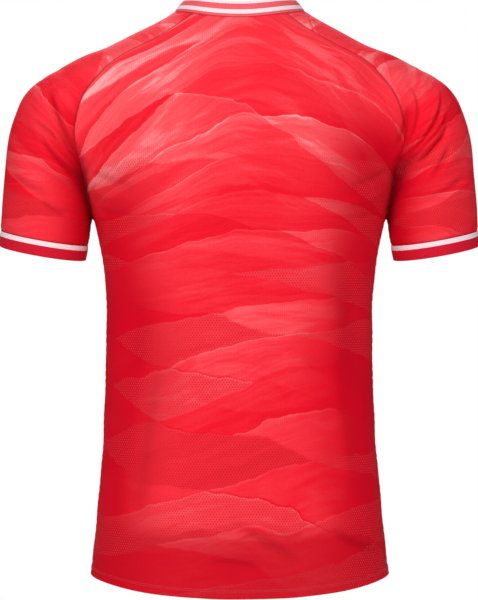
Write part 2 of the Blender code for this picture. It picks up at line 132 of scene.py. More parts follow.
def body_ratio(points):
    """(|x / half width| ^ p + |y / depth| ^ p) ^ (1 / p) is 1 on the surface and less inside."""
    x, y, z = np.moveaxis(points, -1, 0)
    half_width, back, front, power = body_level(z)
    across = np.abs(x / half_width) + 1e-9
    through = np.abs(y / np.where(y > 0, back, front)) + 1e-9
    return (across**power + through**power) ** (1 / power)


for place, height in (("chest", -0.25), ("waist", -0.41)):
    half_width, back, front, _ = body_level(np.array(height))
    print(f"{place}: {2 * half_width:.3f} m wide and {back + front:.3f} m deep")

# %% [markdown]
# ## The arms
#
# Each arm is a slightly conical tube that hangs outwards and a little forwards, closed by a dome over
# the shoulder. The right arm is the left one mirrored, so the formula looks at the size of x alone.

# %% Arm sections, in metres
SHOULDER_POINT = np.array((0.210, 0.004, -0.131))
ARM_SPREAD = 10.0  # degrees
ARM_FORWARD = 5.0
DOME_HEIGHT = 0.0536
DOME_SQUARENESS = 2.4
ARM_LEVELS = (  # place down the arm, its middle's shift outwards, half width, half depth
    (-0.040, 0.0040, 0.0535, 0.0620),
    (0.000, 0.0105, 0.0580, 0.0650),
    (0.040, 0.0185, 0.0555, 0.0650),
    (0.080, 0.0185, 0.0535, 0.0640),
    (0.120, 0.0120, 0.0566, 0.0620),
    (0.160, 0.0091, 0.0559, 0.0600),
    (0.200, 0.0084, 0.0541, 0.0590),
    (0.240, 0.0080, 0.0525, 0.0580),
)
ARM = np.array(ARM_LEVELS)
ARM_DOWN = unit(np.array((np.tan(np.radians(ARM_SPREAD)), -np.tan(np.radians(ARM_FORWARD)), -1.0)))
ARM_BACK = unit(np.cross((1.0, 0.0, 0.0), ARM_DOWN))
ARM_OUT = np.cross(ARM_DOWN, ARM_BACK)


def arm_level(along):
    """The middle's shift outwards, the half width and the half depth at these places down the arm."""
    return smooth(ARM[:, 0], ARM[:, 1:], along)


def arm_ratio(points):
    """The distance from the arm's middle line over its half width and depth. It is 1 on the surface."""
    left = np.stack([np.abs(points[..., 0]), points[..., 1], points[..., 2]], -1)
    reach = left - SHOULDER_POINT
    along = reach @ ARM_DOWN
    middle_out, half_width, half_depth = arm_level(along)
    out = (reach @ ARM_OUT - middle_out) / half_width
    back = reach @ ARM_BACK / half_depth
    dome = np.maximum(-along, 0.0) / DOME_HEIGHT
    ring = (out**2 + back**2 + 1e-12) ** (DOME_SQUARENESS / 2)
    return (ring + dome**DOME_SQUARENESS) ** (1 / DOME_SQUARENESS)


print("the left arm hangs along", np.round(ARM_DOWN, 3))

# %% [markdown]
# ## One surface from three
#
# Where two forms meet, the smaller of their distances gives a sharp corner, and taking a little more
# off near that corner turns it into a soft flow. On top of the shoulder the flow is wide, and under
# the arm it is tight. Blender's remesh could melt the three forms together as well, but then the
# seams' places would be lost, while a formula can be followed to the surface from any point near it.

# %% The blended form
UNDERARM_Z = -0.2609
SHOULDER_BLEND = 0.045
UNDERARM_BLEND = 0.008
BLEND_START_Z = -0.235
BLEND_RISE = 0.115
PROBE = 1e-5
FLATTEST_RATIO = 1.0
FLATTEST_SLOPE = 0.2
LONGEST_STEP = 0.012
STEPS_ONTO_FORM = 24


def slope(measure, points):
    """The rate at which a measure grows along X, Y and Z, from its values a hair to either side."""
    rates = []
    for axis in range(3):
        shift = np.zeros(3)
        shift[axis] = PROBE
        rates.append((measure(points + shift) - measure(points - shift)) / (2 * PROBE))
    return np.stack(rates, -1)


def distance_to(ratio, points):
    """(ratio - 1) / its slope, roughly the distance to the form near it, and that distance's own slope."""
    rate = slope(ratio, points)
    steepness = np.maximum(np.linalg.norm(rate, axis=-1), FLATTEST_RATIO)
    return (ratio(points) - 1) / steepness, rate / steepness[..., None]


def form_distance(points, with_slope=False):
    """The smaller of the two distances, less (blend - their difference) ^ 2 / (4 blend) near the join."""
    body, body_slope = distance_to(body_ratio, points)
    arm, arm_slope = distance_to(arm_ratio, points)
    height = np.clip((points[..., 2] - BLEND_START_Z) / BLEND_RISE, 0.0, 1.0)
    blend = UNDERARM_BLEND + (SHOULDER_BLEND - UNDERARM_BLEND) * height * height * (3 - 2 * height)
    near = np.maximum(blend - np.abs(body - arm), 0.0) / blend
    distance = np.minimum(body, arm) - near * near * blend / 4
    if not with_slope:
        return distance
    arm_share = np.where(arm < body, 1 - near / 2, near / 2)[..., None]
    return distance, arm_slope * arm_share + body_slope * (1 - arm_share)


def onto_form(points):
    """Brings points to the surface: each step is distance x slope / slope squared, held to a length."""
    points = np.array(points, float)
    for _ in range(STEPS_ONTO_FORM):
        distance, rate = form_distance(points, with_slope=True)
        size = np.maximum((rate**2).sum(-1), FLATTEST_SLOPE**2)
        step = rate * (distance / size)[..., None]
        length = np.linalg.norm(step, axis=-1, keepdims=True)
        points -= step * np.minimum(1.0, LONGEST_STEP / np.maximum(length, 1e-12))
    return points


def outward(points):
    """The way out of the form at each point, the form's slope made 1 long."""
    return unit(slope(form_distance, points))


above = np.array([(0.150, 0.0, 0.0)])
print("from above, the shoulder is reached at", np.round(onto_form(above)[0], 3))

# %% [markdown]
# ## The largest folds
#
# Cloth that is pulled from the shoulder to the underarm lies in slanting drag folds, and the back
# falls from the shoulder blades in long shallow ones. A cloth simulation gives folds, but not these
# ones in these places, so each is given in a table: a curve through three points with a bell-shaped
# section, a ridge or a trough, that dies away towards its ends.

# %% Folds and creases, in metres
# face (1 behind, -1 in front), x and z at the start, the middle and the end, width, height
FOLDS = (
    (1, 0.243, -0.094, 0.224, -0.150, 0.205, -0.180, 0.013, -0.0042),
    (1, 0.259, -0.135, 0.229, -0.172, 0.200, -0.205, 0.013, 0.0038),
    (1, 0.276, -0.170, 0.242, -0.205, 0.205, -0.232, 0.012, -0.0038),
    (1, -0.212, -0.095, -0.222, -0.130, -0.206, -0.170, 0.013, -0.0042),
    (1, -0.246, -0.105, -0.236, -0.150, -0.202, -0.190, 0.013, 0.0040),
    (1, -0.262, -0.135, -0.236, -0.175, -0.200, -0.206, 0.012, -0.0040),
    (1, -0.272, -0.180, -0.244, -0.205, -0.208, -0.230, 0.012, 0.0036),
    (1, -0.132, -0.262, -0.141, -0.360, -0.150, -0.470, 0.027, -0.0055),
    (1, -0.104, -0.330, -0.112, -0.400, -0.120, -0.480, 0.027, 0.0045),
    (1, 0.118, -0.360, 0.132, -0.410, 0.140, -0.450, 0.027, -0.0050),
    (1, 0.148, -0.270, 0.150, -0.310, 0.152, -0.350, 0.024, 0.0040),
    (-1, 0.246, -0.100, 0.226, -0.150, 0.198, -0.186, 0.013, -0.0042),
    (-1, 0.268, -0.150, 0.236, -0.186, 0.200, -0.216, 0.013, 0.0038),
    (-1, -0.236, -0.096, -0.224, -0.140, -0.199, -0.178, 0.013, -0.0042),
    (-1, -0.264, -0.140, -0.240, -0.180, -0.202, -0.210, 0.012, 0.0038),
    (-1, 0.128, -0.270, 0.137, -0.370, 0.142, -0.470, 0.027, -0.0055),
    (-1, -0.112, -0.300, -0.126, -0.390, -0.132, -0.490, 0.027, -0.0050),
    (-1, -0.060, -0.560, -0.020, -0.600, 0.050, -0.622, 0.028, 0.0045),
)
CREASES = (
    # back of the left sleeve
    (1, 0.239, -0.101, 0.2210, -0.147, 0.195, -0.198, 0.0048, -0.0049),
    (1, 0.230, -0.103, 0.2170, -0.137, 0.201, -0.172, 0.0060, 0.0042),
    (1, 0.255, -0.140, 0.2280, -0.163, 0.202, -0.197, 0.0044, -0.0044),
    (1, 0.236, -0.143, 0.2185, -0.171, 0.197, -0.201, 0.0040, 0.0038),
    (1, 0.246, -0.165, 0.2255, -0.189, 0.203, -0.211, 0.0044, -0.0044),
    (1, 0.240, -0.161, 0.2215, -0.1845, 0.201, -0.2075, 0.0040, 0.0035),
    (1, 0.284, -0.206, 0.262, -0.222, 0.236, -0.232, 0.0070, -0.0031),
    (1, 0.246, -0.238, 0.232, -0.250, 0.214, -0.256, 0.0060, -0.0031),
    # back of the right sleeve
    (1, -0.208, -0.100, -0.2165, -0.128, -0.206, -0.168, 0.0050, 0.0042),
    (1, -0.209, -0.124, -0.2035, -0.150, -0.195, -0.175, 0.0048, -0.0042),
    (1, -0.245, -0.101, -0.2325, -0.145, -0.199, -0.1946, 0.0046, 0.0047),
    (1, -0.250, -0.113, -0.2370, -0.150, -0.207, -0.187, 0.0042, -0.0047),
    (1, -0.2515, -0.134, -0.2360, -0.1585, -0.196, -0.2008, 0.0040, 0.0038),
    (1, -0.2547, -0.146, -0.2385, -0.167, -0.202, -0.211, 0.0040, 0.0038),
    (1, -0.257, -0.152, -0.2420, -0.172, -0.212, -0.198, 0.0042, -0.0047),
    (1, -0.2596, -0.173, -0.2486, -0.1946, -0.236, -0.2132, 0.0050, -0.0042),
    (1, -0.282, -0.206, -0.258, -0.226, -0.226, -0.240, 0.0060, -0.0031),
    # back, drawn in towards the underarms
    (1, 0.184, -0.204, 0.160, -0.216, 0.134, -0.222, 0.0070, -0.0026),
    (1, 0.178, -0.228, 0.156, -0.236, 0.130, -0.238, 0.0070, 0.0022),
    (1, 0.172, -0.252, 0.154, -0.256, 0.136, -0.255, 0.0065, -0.0022),
    (1, -0.186, -0.200, -0.164, -0.214, -0.140, -0.222, 0.0070, -0.0026),
    (1, -0.180, -0.226, -0.156, -0.238, -0.126, -0.243, 0.0075, 0.0024),
    (1, -0.172, -0.254, -0.152, -0.260, -0.132, -0.262, 0.0065, -0.0019),
    # long soft lines down the back and over the hem
    (1, -0.106, -0.430, -0.124, -0.520, -0.132, -0.600, 0.0140, 0.0024),
    (1, 0.100, -0.440, 0.116, -0.540, 0.126, -0.640, 0.0140, -0.0024),
    (1, 0.012, -0.626, -0.036, -0.658, -0.077, -0.681, 0.0080, -0.0036),
    (1, 0.018, -0.640, -0.030, -0.670, -0.062, -0.686, 0.0090, 0.0026),
    (1, 0.038, -0.683, 0.004, -0.681, -0.027, -0.688, 0.0066, -0.0032),
    (1, -0.118, -0.647, -0.147, -0.661, -0.176, -0.672, 0.0066, -0.0038),
    (1, 0.150, -0.600, 0.120, -0.640, 0.070, -0.664, 0.0130, 0.0022),
    # front of both sleeves
    (-1, 0.258, -0.122, 0.238, -0.160, 0.204, -0.196, 0.0060, -0.0031),
    (-1, 0.272, -0.176, 0.246, -0.202, 0.212, -0.226, 0.0060, -0.0027),
    (-1, 0.240, -0.236, 0.224, -0.246, 0.206, -0.250, 0.0060, 0.0020),
    (-1, -0.252, -0.116, -0.236, -0.154, -0.204, -0.192, 0.0060, 0.0031),
    (-1, -0.270, -0.170, -0.244, -0.198, -0.210, -0.224, 0.0060, -0.0031),
    (-1, -0.246, -0.232, -0.228, -0.244, -0.206, -0.250, 0.0060, -0.0020),
    # front, drawn in towards the underarms
    (-1, 0.184, -0.204, 0.162, -0.216, 0.136, -0.224, 0.0075, -0.0027),
    (-1, 0.178, -0.230, 0.154, -0.240, 0.126, -0.246, 0.0075, 0.0024),
    (-1, -0.184, -0.208, -0.160, -0.222, -0.134, -0.228, 0.0075, -0.0027),
    (-1, -0.178, -0.234, -0.154, -0.246, -0.128, -0.250, 0.0075, 0.0022),
    # long soft lines down the front
    (-1, 0.096, -0.330, 0.110, -0.430, 0.118, -0.520, 0.0140, 0.0027),
    (-1, -0.086, -0.360, -0.102, -0.450, -0.112, -0.560, 0.0140, 0.0024),
    (-1, -0.150, -0.300, -0.152, -0.370, -0.156, -0.440, 0.0120, 0.0022),
    (-1, 0.150, -0.600, 0.110, -0.650, 0.050, -0.670, 0.0130, -0.0024),
    (-1, -0.100, -0.656, -0.130, -0.668, -0.160, -0.672, 0.0110, 0.0020),
)
FOLD_CURVE_POINTS = 13
CREASE_CURVE_POINTS = 45  # close enough for a narrow crease to look like one line
FOLD_SPREAD = 0.5
FOLD_END_POWER = 6
FOLD_WRAP = 2.0
FOLD_END = 4.0  # so many widths away nothing is left of a fold


def fold_height(points, normals, table, curve_points):
    """The sum of height x exp(-distance ^ 2 / (2 spread ^ 2)) over the folds of the point's own face."""
    height = np.zeros(points.shape[:-1])
    t = np.linspace(0.0, 1.0, curve_points)
    for face, x0, z0, x1, z1, x2, z2, width, rise in table:
        start, middle, end = np.array((x0, z0)), np.array((x1, z1)), np.array((x2, z2))
        bend = 2 * middle - (start + end) / 2
        line = (1 - t)[:, None] ** 2 * start + (2 * t * (1 - t))[:, None] * bend + (t**2)[:, None] * end
        near = np.abs(points[..., 0] - middle[0]) < np.ptp((x0, x1, x2)) + FOLD_END * width
        spots = np.nonzero(near & (face * normals[..., 1] > 0))
        away = points[spots][:, None, [0, 2]] - line
        fading = (2 * t - 1) ** FOLD_END_POWER * width**2
        nearest = np.min((away**2).sum(-1) + fading, axis=-1)
        facing = np.clip(face * normals[spots][:, 1] * FOLD_WRAP, 0.0, 1.0)
        height[spots] += rise * facing * np.exp(-nearest / (2 * (FOLD_SPREAD * width) ** 2))
    return height


print(len(FOLDS), "large folds and", len(CREASES), "smaller creases")

# %% [markdown]
# ## Fine rumples
#
# Between its folds a worn knit is never quite even. A displacement texture would do this too. A sum of
# long sine waves in chance directions, from a fixed seed, gives the same soft unevenness every time,
# and because it depends on the place alone, two pieces stay level with each other at their seam.

# %% A sum of waves
RUMPLE_WAVES = 28
RUMPLE_LENGTHS = (0.028, 0.110)
RUMPLE_HEIGHT = 0.00038
RUMPLE_LIE = (1.0, 1.0, 0.8)  # a little more waves run across than up and down

chance = np.random.default_rng(7)
rumple_lengths = chance.uniform(*RUMPLE_LENGTHS, RUMPLE_WAVES)
rumple_ways = unit(chance.normal(size=(RUMPLE_WAVES, 3)) * RUMPLE_LIE)
rumple_starts = chance.uniform(0.0, 2 * np.pi, RUMPLE_WAVES)


def rumples(points):
    """The sum of sin(2 pi place / length + start) over the waves, the longer ones the higher."""
    turns = points @ (rumple_ways / rumple_lengths[:, None]).T * 2 * np.pi + rumple_starts
    share = rumple_lengths / rumple_lengths.mean()
    return RUMPLE_HEIGHT * (np.sin(turns) * share).sum(-1) / np.sqrt(RUMPLE_WAVES / 2)


print("longest rumple", round(rumple_lengths.max() * 1000), "mm")

# %% [markdown]
# ## Seam lines
#
# The seams are where the pieces are cut, so they are laid first and the cloth is spread between them.
# The neck seam is an oval that dips in front. Three lines along the sleeve, through a table of
# points, give both raglan seams and the ridge of the shoulder between them.

# %% The neck seam
NECK_HALF_WIDTH = 0.0825
NECK_BACK_REACH = 0.075
NECK_FRONT_REACH = 0.090
NECK_BACK_DROP = 0.0137
NECK_FRONT_DROP = 0.082
NECK_FRONT_ROUNDNESS = 1.25
NECK_BACK_SEAM_ANGLE = 46.0
NECK_FRONT_SEAM_ANGLE = 128.0


def neck_ring(angles):
    """An oval, dropped by drop x |cos angle| ^ roundness. Angles count from the back to the left."""
    turn = np.radians(angles)
    facing = np.cos(turn)
    reach = np.where(facing > 0, NECK_BACK_REACH, NECK_FRONT_REACH)
    back_drop = NECK_BACK_DROP * facing**2
    front_drop = NECK_FRONT_DROP * np.abs(facing) ** NECK_FRONT_ROUNDNESS
    drop = np.where(facing > 0, back_drop, front_drop)
    return onto_form(np.stack([NECK_HALF_WIDTH * np.sin(turn), reach * facing, -drop], -1))


ring = neck_ring(np.arange(0.0, 361.0))
print(f"neck seam {np.linalg.norm(np.diff(ring, axis=0), axis=1).sum():.3f} m round")

# %% The sleeve's lines
SLEEVE_COLUMNS = (
    "back_x", "back_y", "back_z",
    "top_x", "top_y", "top_z",
    "front_x", "front_y", "front_z",
)
SLEEVE_LINES = np.array((
    (0.1850, -0.0050, -0.2609, 0.2985, 0.000, -0.232, 0.1850, -0.0050, -0.2609),
    (0.1874, 0.0120, -0.249, 0.2975, 0.000, -0.209, 0.1864, -0.0211, -0.249),
    (0.1914, 0.0208, -0.2300, 0.294, 0.000, -0.187, 0.1901, -0.0278, -0.230),
    (0.1964, 0.0428, -0.1954, 0.290, 0.001, -0.160, 0.1953, -0.0433, -0.197),
    (0.2037, 0.0612, -0.1623, 0.284, 0.002, -0.134, 0.1980, -0.0560, -0.164),
    (0.2006, 0.0685, -0.1338, 0.270, 0.002, -0.107, 0.194, -0.0618, -0.135),
    (0.1859, 0.0620, -0.0952, 0.238, 0.002, -0.077, 0.180, -0.0590, -0.098),
    (0.1655, 0.0600, -0.0718, 0.202, 0.002, -0.060, 0.160, -0.0580, -0.076),
    (0.1308, 0.0625, -0.0520, 0.155, 0.002, -0.040, 0.127, -0.0625, -0.058),
    (0.0874, 0.0620, -0.0284, 0.108, 0.001, -0.015, 0.088, -0.0620, -0.040),
    (0.0600, 0.0560, -0.0080, 0.0825, 0.000, 0.000, 0.065, -0.0590, -0.030),
))


def sleeve_line(name, up):
    """One of the three lines at shares from the underarm to the collar, counted by length alike."""
    starts = {part: SLEEVE_COLUMNS.index(part + "_x") for part in ("back", "top", "front")}
    lines = {part: SLEEVE_LINES[:, start:start + 3] for part, start in starts.items()}
    at = 0
    for line in lines.values():
        travel = np.concatenate([[0], np.cumsum(np.linalg.norm(np.diff(line, axis=0), axis=1))])
        at = at + travel / travel[-1] / len(lines)
    return np.stack([*smooth(at, lines[name], up)], -1)


ridge = sleeve_line("top", np.array((0.0, 1.0)))
print("the shoulder's ridge runs from", np.round(ridge[0], 3), "to", np.round(ridge[1], 3))

# %% [markdown]
# ## Spacing the points
#
# The grid of a piece is finest where something small happens: beside a seam, where the cloth dips
# into the stitching, and over the turned-up hem. Elsewhere a point every three or four millimetres is
# enough, and a subdivision surface isn't needed.

# %% How closely the points lie
COARSER = 1
EDGE_CELLS = (0.22, 0.30, 0.45, 0.70)  # of a usual cell
HEM_ROWS = np.array((
    0.0, 0.0008, 0.0022, 0.0048, 0.0075, 0.0090, 0.0100, 0.0110, 0.0122, 0.0140, 0.0168, 0.0198,
))
HEM_STITCH_ROWS = (5, 7)
BODY_CELLS = 150 // COARSER
SIDE_SEAM_CELLS = 122 // COARSER
RAGLAN_CELLS = 144 // COARSER
SLEEVE_CELLS = 204 // COARSER
UNDERARM_SEAM_CELLS = 18 // COARSER
COLLAR_CELLS = 400 // COARSER
CUFF_CELLS = 260 // COARSER


def runs(points, axis):
    """The distance along the grid to each point from the first one and from the last one."""
    steps = np.linalg.norm(np.diff(points, axis=axis), axis=-1)
    start = np.zeros_like(steps.take([0], axis))
    run = np.concatenate([start, np.cumsum(steps, axis)], axis)
    return run, run.take([-1], axis) - run


def shares(cells, first=False, last=False):
    """Shares from 0 to 1 in even steps, with narrow steps at the first or last end where asked."""
    widths = np.ones(cells)
    if first:
        widths[: len(EDGE_CELLS)] = EDGE_CELLS
    if last:
        widths[-len(EDGE_CELLS):] = EDGE_CELLS[::-1]
    return np.concatenate([[0.0], np.cumsum(widths)]) / widths.sum()


print("shares of a short row:", np.round(shares(10, first=True), 3))

# %% [markdown]
# ## The back and the front
#
# Each body piece is a function of two parameters: how far up the side edge a row starts, and how far
# across it a point lies. A row follows the body's section between its two edges, and the topmost rows
# bend to meet the neck seam. Then every point is brought onto the form.

# %% The body grid
HEM_Z = -0.706
UNDERARM_Y = -0.0050
SIDE_SEAM_TURN = 0.060  # over this height the side seam bends forward to the underarm
BACK_HEM_DROP = 0.021
FRONT_HEM_DROP = 0.006
NECK_ROWS_START = 0.375
MOST_FACING = 0.999  # keeps the turn at a row's edge above 0, because its sine is divided by


def neck_share(up):
    """0 in the lower rows and ((up - start) / (1 - start)) ^ 2 above, which is 1 at the neck."""
    return np.clip((up - NECK_ROWS_START) / (1 - NECK_ROWS_START), 0.0, 1.0) ** 2


def evened(points, even, own_share):
    """Along each row the points move to even shares of its length, or keep their own by own_share."""
    moved = points.copy()
    for row, keep in enumerate(own_share):
        travel = runs(points[row], 0)[0]
        own = travel / travel[-1]
        target = (even + (own - even) * keep) * travel[-1]
        moved[row] = np.stack([np.interp(target, travel, values) for values in points[row].T], -1)
    return onto_form(moved)


def panel_points(face):
    """Rows from hem to neck: x = edge x sin(turn) / sin(edge turn), y = depth cos(turn), z eased."""
    back = face > 0
    neck_angle = NECK_BACK_SEAM_ANGLE if back else NECK_FRONT_SEAM_ANGLE
    up = shares(RAGLAN_CELLS, last=True)
    raglan = onto_form(sleeve_line("back" if back else "front", up))
    raglan[-1] = neck_ring(np.array([neck_angle]))[0]
    above_hem = np.linspace(HEM_Z + HEM_ROWS[-1], UNDERARM_Z, SIDE_SEAM_CELLS + 1)[:-1]
    side_z = np.concatenate([HEM_Z + HEM_ROWS[:-1], above_hem])
    side_y = UNDERARM_Y * np.clip((side_z - UNDERARM_Z) / SIDE_SEAM_TURN + 1, 0.0, 1.0) ** 2
    side = onto_form(np.stack([next(body_level(side_z)), side_y, side_z], -1))
    edge = np.concatenate([side, raglan])
    up = np.concatenate([0 * side_z, up])
    hem_share = np.clip((UNDERARM_Z - edge[:, 2]) / (UNDERARM_Z - HEM_Z), 0.0, 1.0) * (up == 0)
    top_z = -NECK_BACK_DROP if back else -NECK_FRONT_DROP
    hem_drop = BACK_HEM_DROP if back else FRONT_HEM_DROP
    middle_z = np.where(up > 0, UNDERARM_Z + (top_z - UNDERARM_Z) * up, edge[:, 2] - hem_drop * hem_share)
    depth = [*body_level(middle_z)][1 if back else 2]
    edge_turn = np.arccos(np.clip(face * edge[:, 1] / depth, 0.0, MOST_FACING))
    w = 2 * shares(BODY_CELLS, first=True, last=True) - 1
    turn = edge_turn[:, None] * w
    lift = np.sin(w * np.pi / 2) ** 2
    across = edge[:, :1] * np.sin(turn) / np.sin(edge_turn)[:, None]
    height = middle_z[:, None] + (edge[:, 2] - middle_z)[:, None] * lift
    points = np.stack([across, face * depth[:, None] * np.cos(turn), height], -1)
    neck_turn = neck_angle if back else 180 - neck_angle
    neck = neck_ring(w * neck_turn if back else 180 - w * neck_turn)
    points += (neck - points[-1]) * neck_share(up)[:, None, None]
    points = evened(onto_form(points), (w + 1) / 2, neck_share(up))
    points[:, -1] = edge
    points[:, 0] = edge * (-1, 1, 1)
    points[-1] = neck
    return points


print("side seam", round(UNDERARM_Z - HEM_Z, 3), "m high")

# %% [markdown]
# ## The sleeve
#
# Above the underarm a row is an arc of a circle through three points: one on the back seam, one on the
# ridge of the shoulder and one on the front seam. Below it the sleeve is a plain tube, cut open along
# the underarm seam, and its rings run down to the cuff.

# %% The sleeve grid
SEAM_GAP = 0.0003
CUFF_HEIGHT = 0.020
CUFF_EDGE = 0.1765
CUFF_SEAM = CUFF_EDGE - CUFF_HEIGHT


def arc_through(first, middle, last, share):
    """Points on the circle through three points, at shares of the turn from the first to the last."""
    a, b = first - middle, last - middle
    axis = np.cross(a, b)
    size = (axis**2).sum(-1, keepdims=True)
    uneven = (a**2).sum(-1, keepdims=True) * b - (b**2).sum(-1, keepdims=True) * a
    centre = middle + np.cross(uneven, axis) / (2 * size)
    start = first - centre
    side = np.cross(-unit(axis), start)
    finish = last - centre
    sweep = np.arctan2((finish * side).sum(-1), (finish * start).sum(-1)) % (2 * np.pi)
    turn = (sweep[:, None] * share)[..., None]
    return centre[:, None] + start[:, None] * np.cos(turn) + side[:, None] * np.sin(turn)


def arm_ring(along, share):
    """A ring round the left arm: middle + width cos(turn) outwards + depth sin(turn) backwards."""
    turn = (2 * share - 1) * np.pi
    middle_out, half_width, half_depth = arm_level(np.array(along))
    out = middle_out + half_width * np.cos(turn)
    back = -half_depth * np.sin(turn)
    return SHOULDER_POINT + along * ARM_DOWN + out[:, None] * ARM_OUT + back[:, None] * ARM_BACK


def sleeve_points():
    """Rows from the cuff seam to the collar, columns from the back edge over the arm to the front."""
    up = shares(RAGLAN_CELLS, last=True)
    across = shares(SLEEVE_CELLS, first=True, last=True)
    back = onto_form(sleeve_line("back", up))
    front = onto_form(sleeve_line("front", up))
    back[-1] = neck_ring(np.array([NECK_BACK_SEAM_ANGLE]))[0]
    front[-1] = neck_ring(np.array([NECK_FRONT_SEAM_ANGLE]))[0]
    parted = np.zeros_like(back)
    parted[0, 1] = SEAM_GAP
    upper = arc_through(back + parted, sleeve_line("top", up), front - parted, across)
    neck = neck_ring(NECK_BACK_SEAM_ANGLE + (NECK_FRONT_SEAM_ANGLE - NECK_BACK_SEAM_ANGLE) * across)
    upper += (neck - upper[-1]) * neck_share(up)[:, None, None]
    upper = evened(onto_form(upper), across, neck_share(up))
    upper[:, 0] = back
    upper[:, -1] = front
    upper[-1] = neck
    ring = arm_ring(CUFF_SEAM, across)
    lower = onto_form(ring + (upper[0] - ring) * shares(UNDERARM_SEAM_CELLS, first=True)[:-1, None, None])
    return np.concatenate([lower, upper])


print("cuff seam", round(CUFF_SEAM, 4), "m down the arm")

# %% [markdown]
# ## From a grid to cloth
#
# The grid is pushed out or in by the folds, and drawn in a little beside the seams, where the stitches
# pull it down and make it pucker. The inner face lies one thickness further in. Solidify would give
# the wall too, but working it out keeps the turned-up hem thicker than the rest.

# %% What happens beside the seams
CLOTH_WALL = 0.0015
SEAM_DIP = 0.0011
SEAM_DIP_WIDTH = 0.0024
PUCKER_HEIGHT = 0.00045
PUCKER_LENGTH = 0.0105
PUCKER_REACH = 0.0080
PUCKER_WAY = (0.55, 0.35, 1.0)  # every seam runs along one of these enough to be counted
PUCKER_BEAT = (0.6, 4.7)  # some puckers are higher, every few lengths


def seam_height(points, distance):
    """-dip x exp(-(distance / width) ^ 2), and waves along the seam x exp(-distance / reach)."""
    dip = -SEAM_DIP * np.exp(-((distance / SEAM_DIP_WIDTH) ** 2))
    along = np.abs(points) @ PUCKER_WAY
    uneven = 1 + PUCKER_BEAT[0] * np.sin(along * 2 * np.pi / (PUCKER_LENGTH * PUCKER_BEAT[1]))
    waves = np.sin(along * 2 * np.pi / PUCKER_LENGTH) * uneven
    fading = np.exp(-distance / PUCKER_REACH) * (1 - np.exp(-((distance / SEAM_DIP_WIDTH) ** 2)))
    return dip + PUCKER_HEIGHT * waves * fading


print("a pucker every", PUCKER_LENGTH * 1000, "mm along a seam")

# %% The turned-up hem
HEM_FOLD = 0.0108  # how far the edge is turned up
HEM_EXTRA = 0.0007
HEM_STEP = {"outside": 0.0118, "slope": 0.0014, "inside": HEM_FOLD, "inner_slope": 0.0012}
HEM_STITCHES = {"up": 0.0100, "width": 0.0013, "dip": 0.00045}
HEM_ROUNDING = 0.0011
HEM_EDGE_DROP = 0.6
HEM_EDGE_THINNING = 0.45
HEM_INNER_SHARE = 0.8
HEM_SIDE_EASE = 0.004  # beside the side seams the hem's step dies away


def hem_height(distance):
    """One more layer below the fold's edge, a dip at the stitches and a rounded lower edge."""
    layer = HEM_EXTRA * (1 - np.tanh((distance - HEM_STEP["outside"]) / HEM_STEP["slope"])) / 2
    from_stitches = (distance - HEM_STITCHES["up"]) / HEM_STITCHES["width"]
    edge = HEM_ROUNDING * np.clip(1 - distance / HEM_ROUNDING, 0.0, 1.0) ** 2
    return layer - HEM_STITCHES["dip"] * np.exp(-(from_stitches**2)) - edge * HEM_EDGE_DROP


def hem_wall(distance):
    """The wall, thicker where the hem is double and thinner at its rounded edge."""
    step = 1 - np.tanh((distance - HEM_STEP["inside"]) / HEM_STEP["inner_slope"])
    wall = CLOTH_WALL + HEM_INNER_SHARE * HEM_EXTRA * step
    return wall * (1 - HEM_EDGE_THINNING * np.clip(1 - distance / HEM_ROUNDING, 0, 1))


print(f"wall {CLOTH_WALL * 1000:.1f} mm, and {hem_wall(HEM_FOLD / 2) * 1000:.1f} mm at the hem")

# %% The wall
def drawn_back(points, normals):
    """The grid with its edges drawn back, square to the seam, by half of the seam's gap."""
    moved = points.copy()
    for across in (0, 1):
        grid, facing, target = (np.moveaxis(a, across, 0) for a in (points, normals, moved))
        for edge, inner in ((0, 1), (-1, -2)):
            line = grid[edge]
            square = unit(np.cross(np.gradient(line, axis=0), facing[edge]))
            inwards = np.sign(((grid[inner] - line) * square).sum(-1, keepdims=True))
            target[edge] += SEAM_GAP / 2 * inwards * square
    return moved


def wall_faces(rows, columns, closed):
    """Squares of the outer grid, the same reversed for the inner one, and a strip round each edge."""
    index = np.arange(rows * columns).reshape(rows, columns)
    if closed:
        index = np.concatenate([index, index[:, :1]], axis=1)
    outer = np.stack([index[:-1, :-1], index[:-1, 1:], index[1:, 1:], index[1:, :-1]], -1)
    outer = outer.reshape(-1, 4)
    loops = [index[0], index[-1, ::-1]]
    if not closed:
        loops = [np.concatenate([index[0], index[1:, -1], index[-1, -2::-1], index[-2::-1, 0]])]
    inner = rows * columns
    rims = [np.stack([loop[1:], loop[:-1], loop[:-1] + inner, loop[1:] + inner], -1) for loop in loops]
    return np.concatenate([outer, outer[:, ::-1] + inner] + rims)


SHARP_FROM = 50.0  # degrees


def new_piece(name, corners, faces, material, maps=None, marks=None):
    """A mesh object at the origin, with its own map in metres and marks on its points."""
    mesh = bpy.data.meshes.new(name)
    mesh.from_pydata(corners.tolist(), [], faces.tolist())
    mesh.shade_smooth()
    mesh.set_sharp_from_angle(angle=np.radians(SHARP_FROM))
    if maps is not None:
        at = np.empty(len(mesh.loops), np.int32)
        mesh.loops.foreach_get("vertex_index", at)
        places = maps[at].astype(np.float32).ravel()
        mesh.uv_layers.new(name="cloth").uv.foreach_set("vector", places)
    for mark, values in (marks or {}).items():
        attribute = mesh.attributes.new(mark, "FLOAT", "POINT")
        attribute.data.foreach_set("value", values.astype(np.float32))
    mesh.materials.append(material)
    piece = bpy.data.objects.new(name, mesh)
    bpy.context.scene.collection.objects.link(piece)
    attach(piece, "root")
    return piece


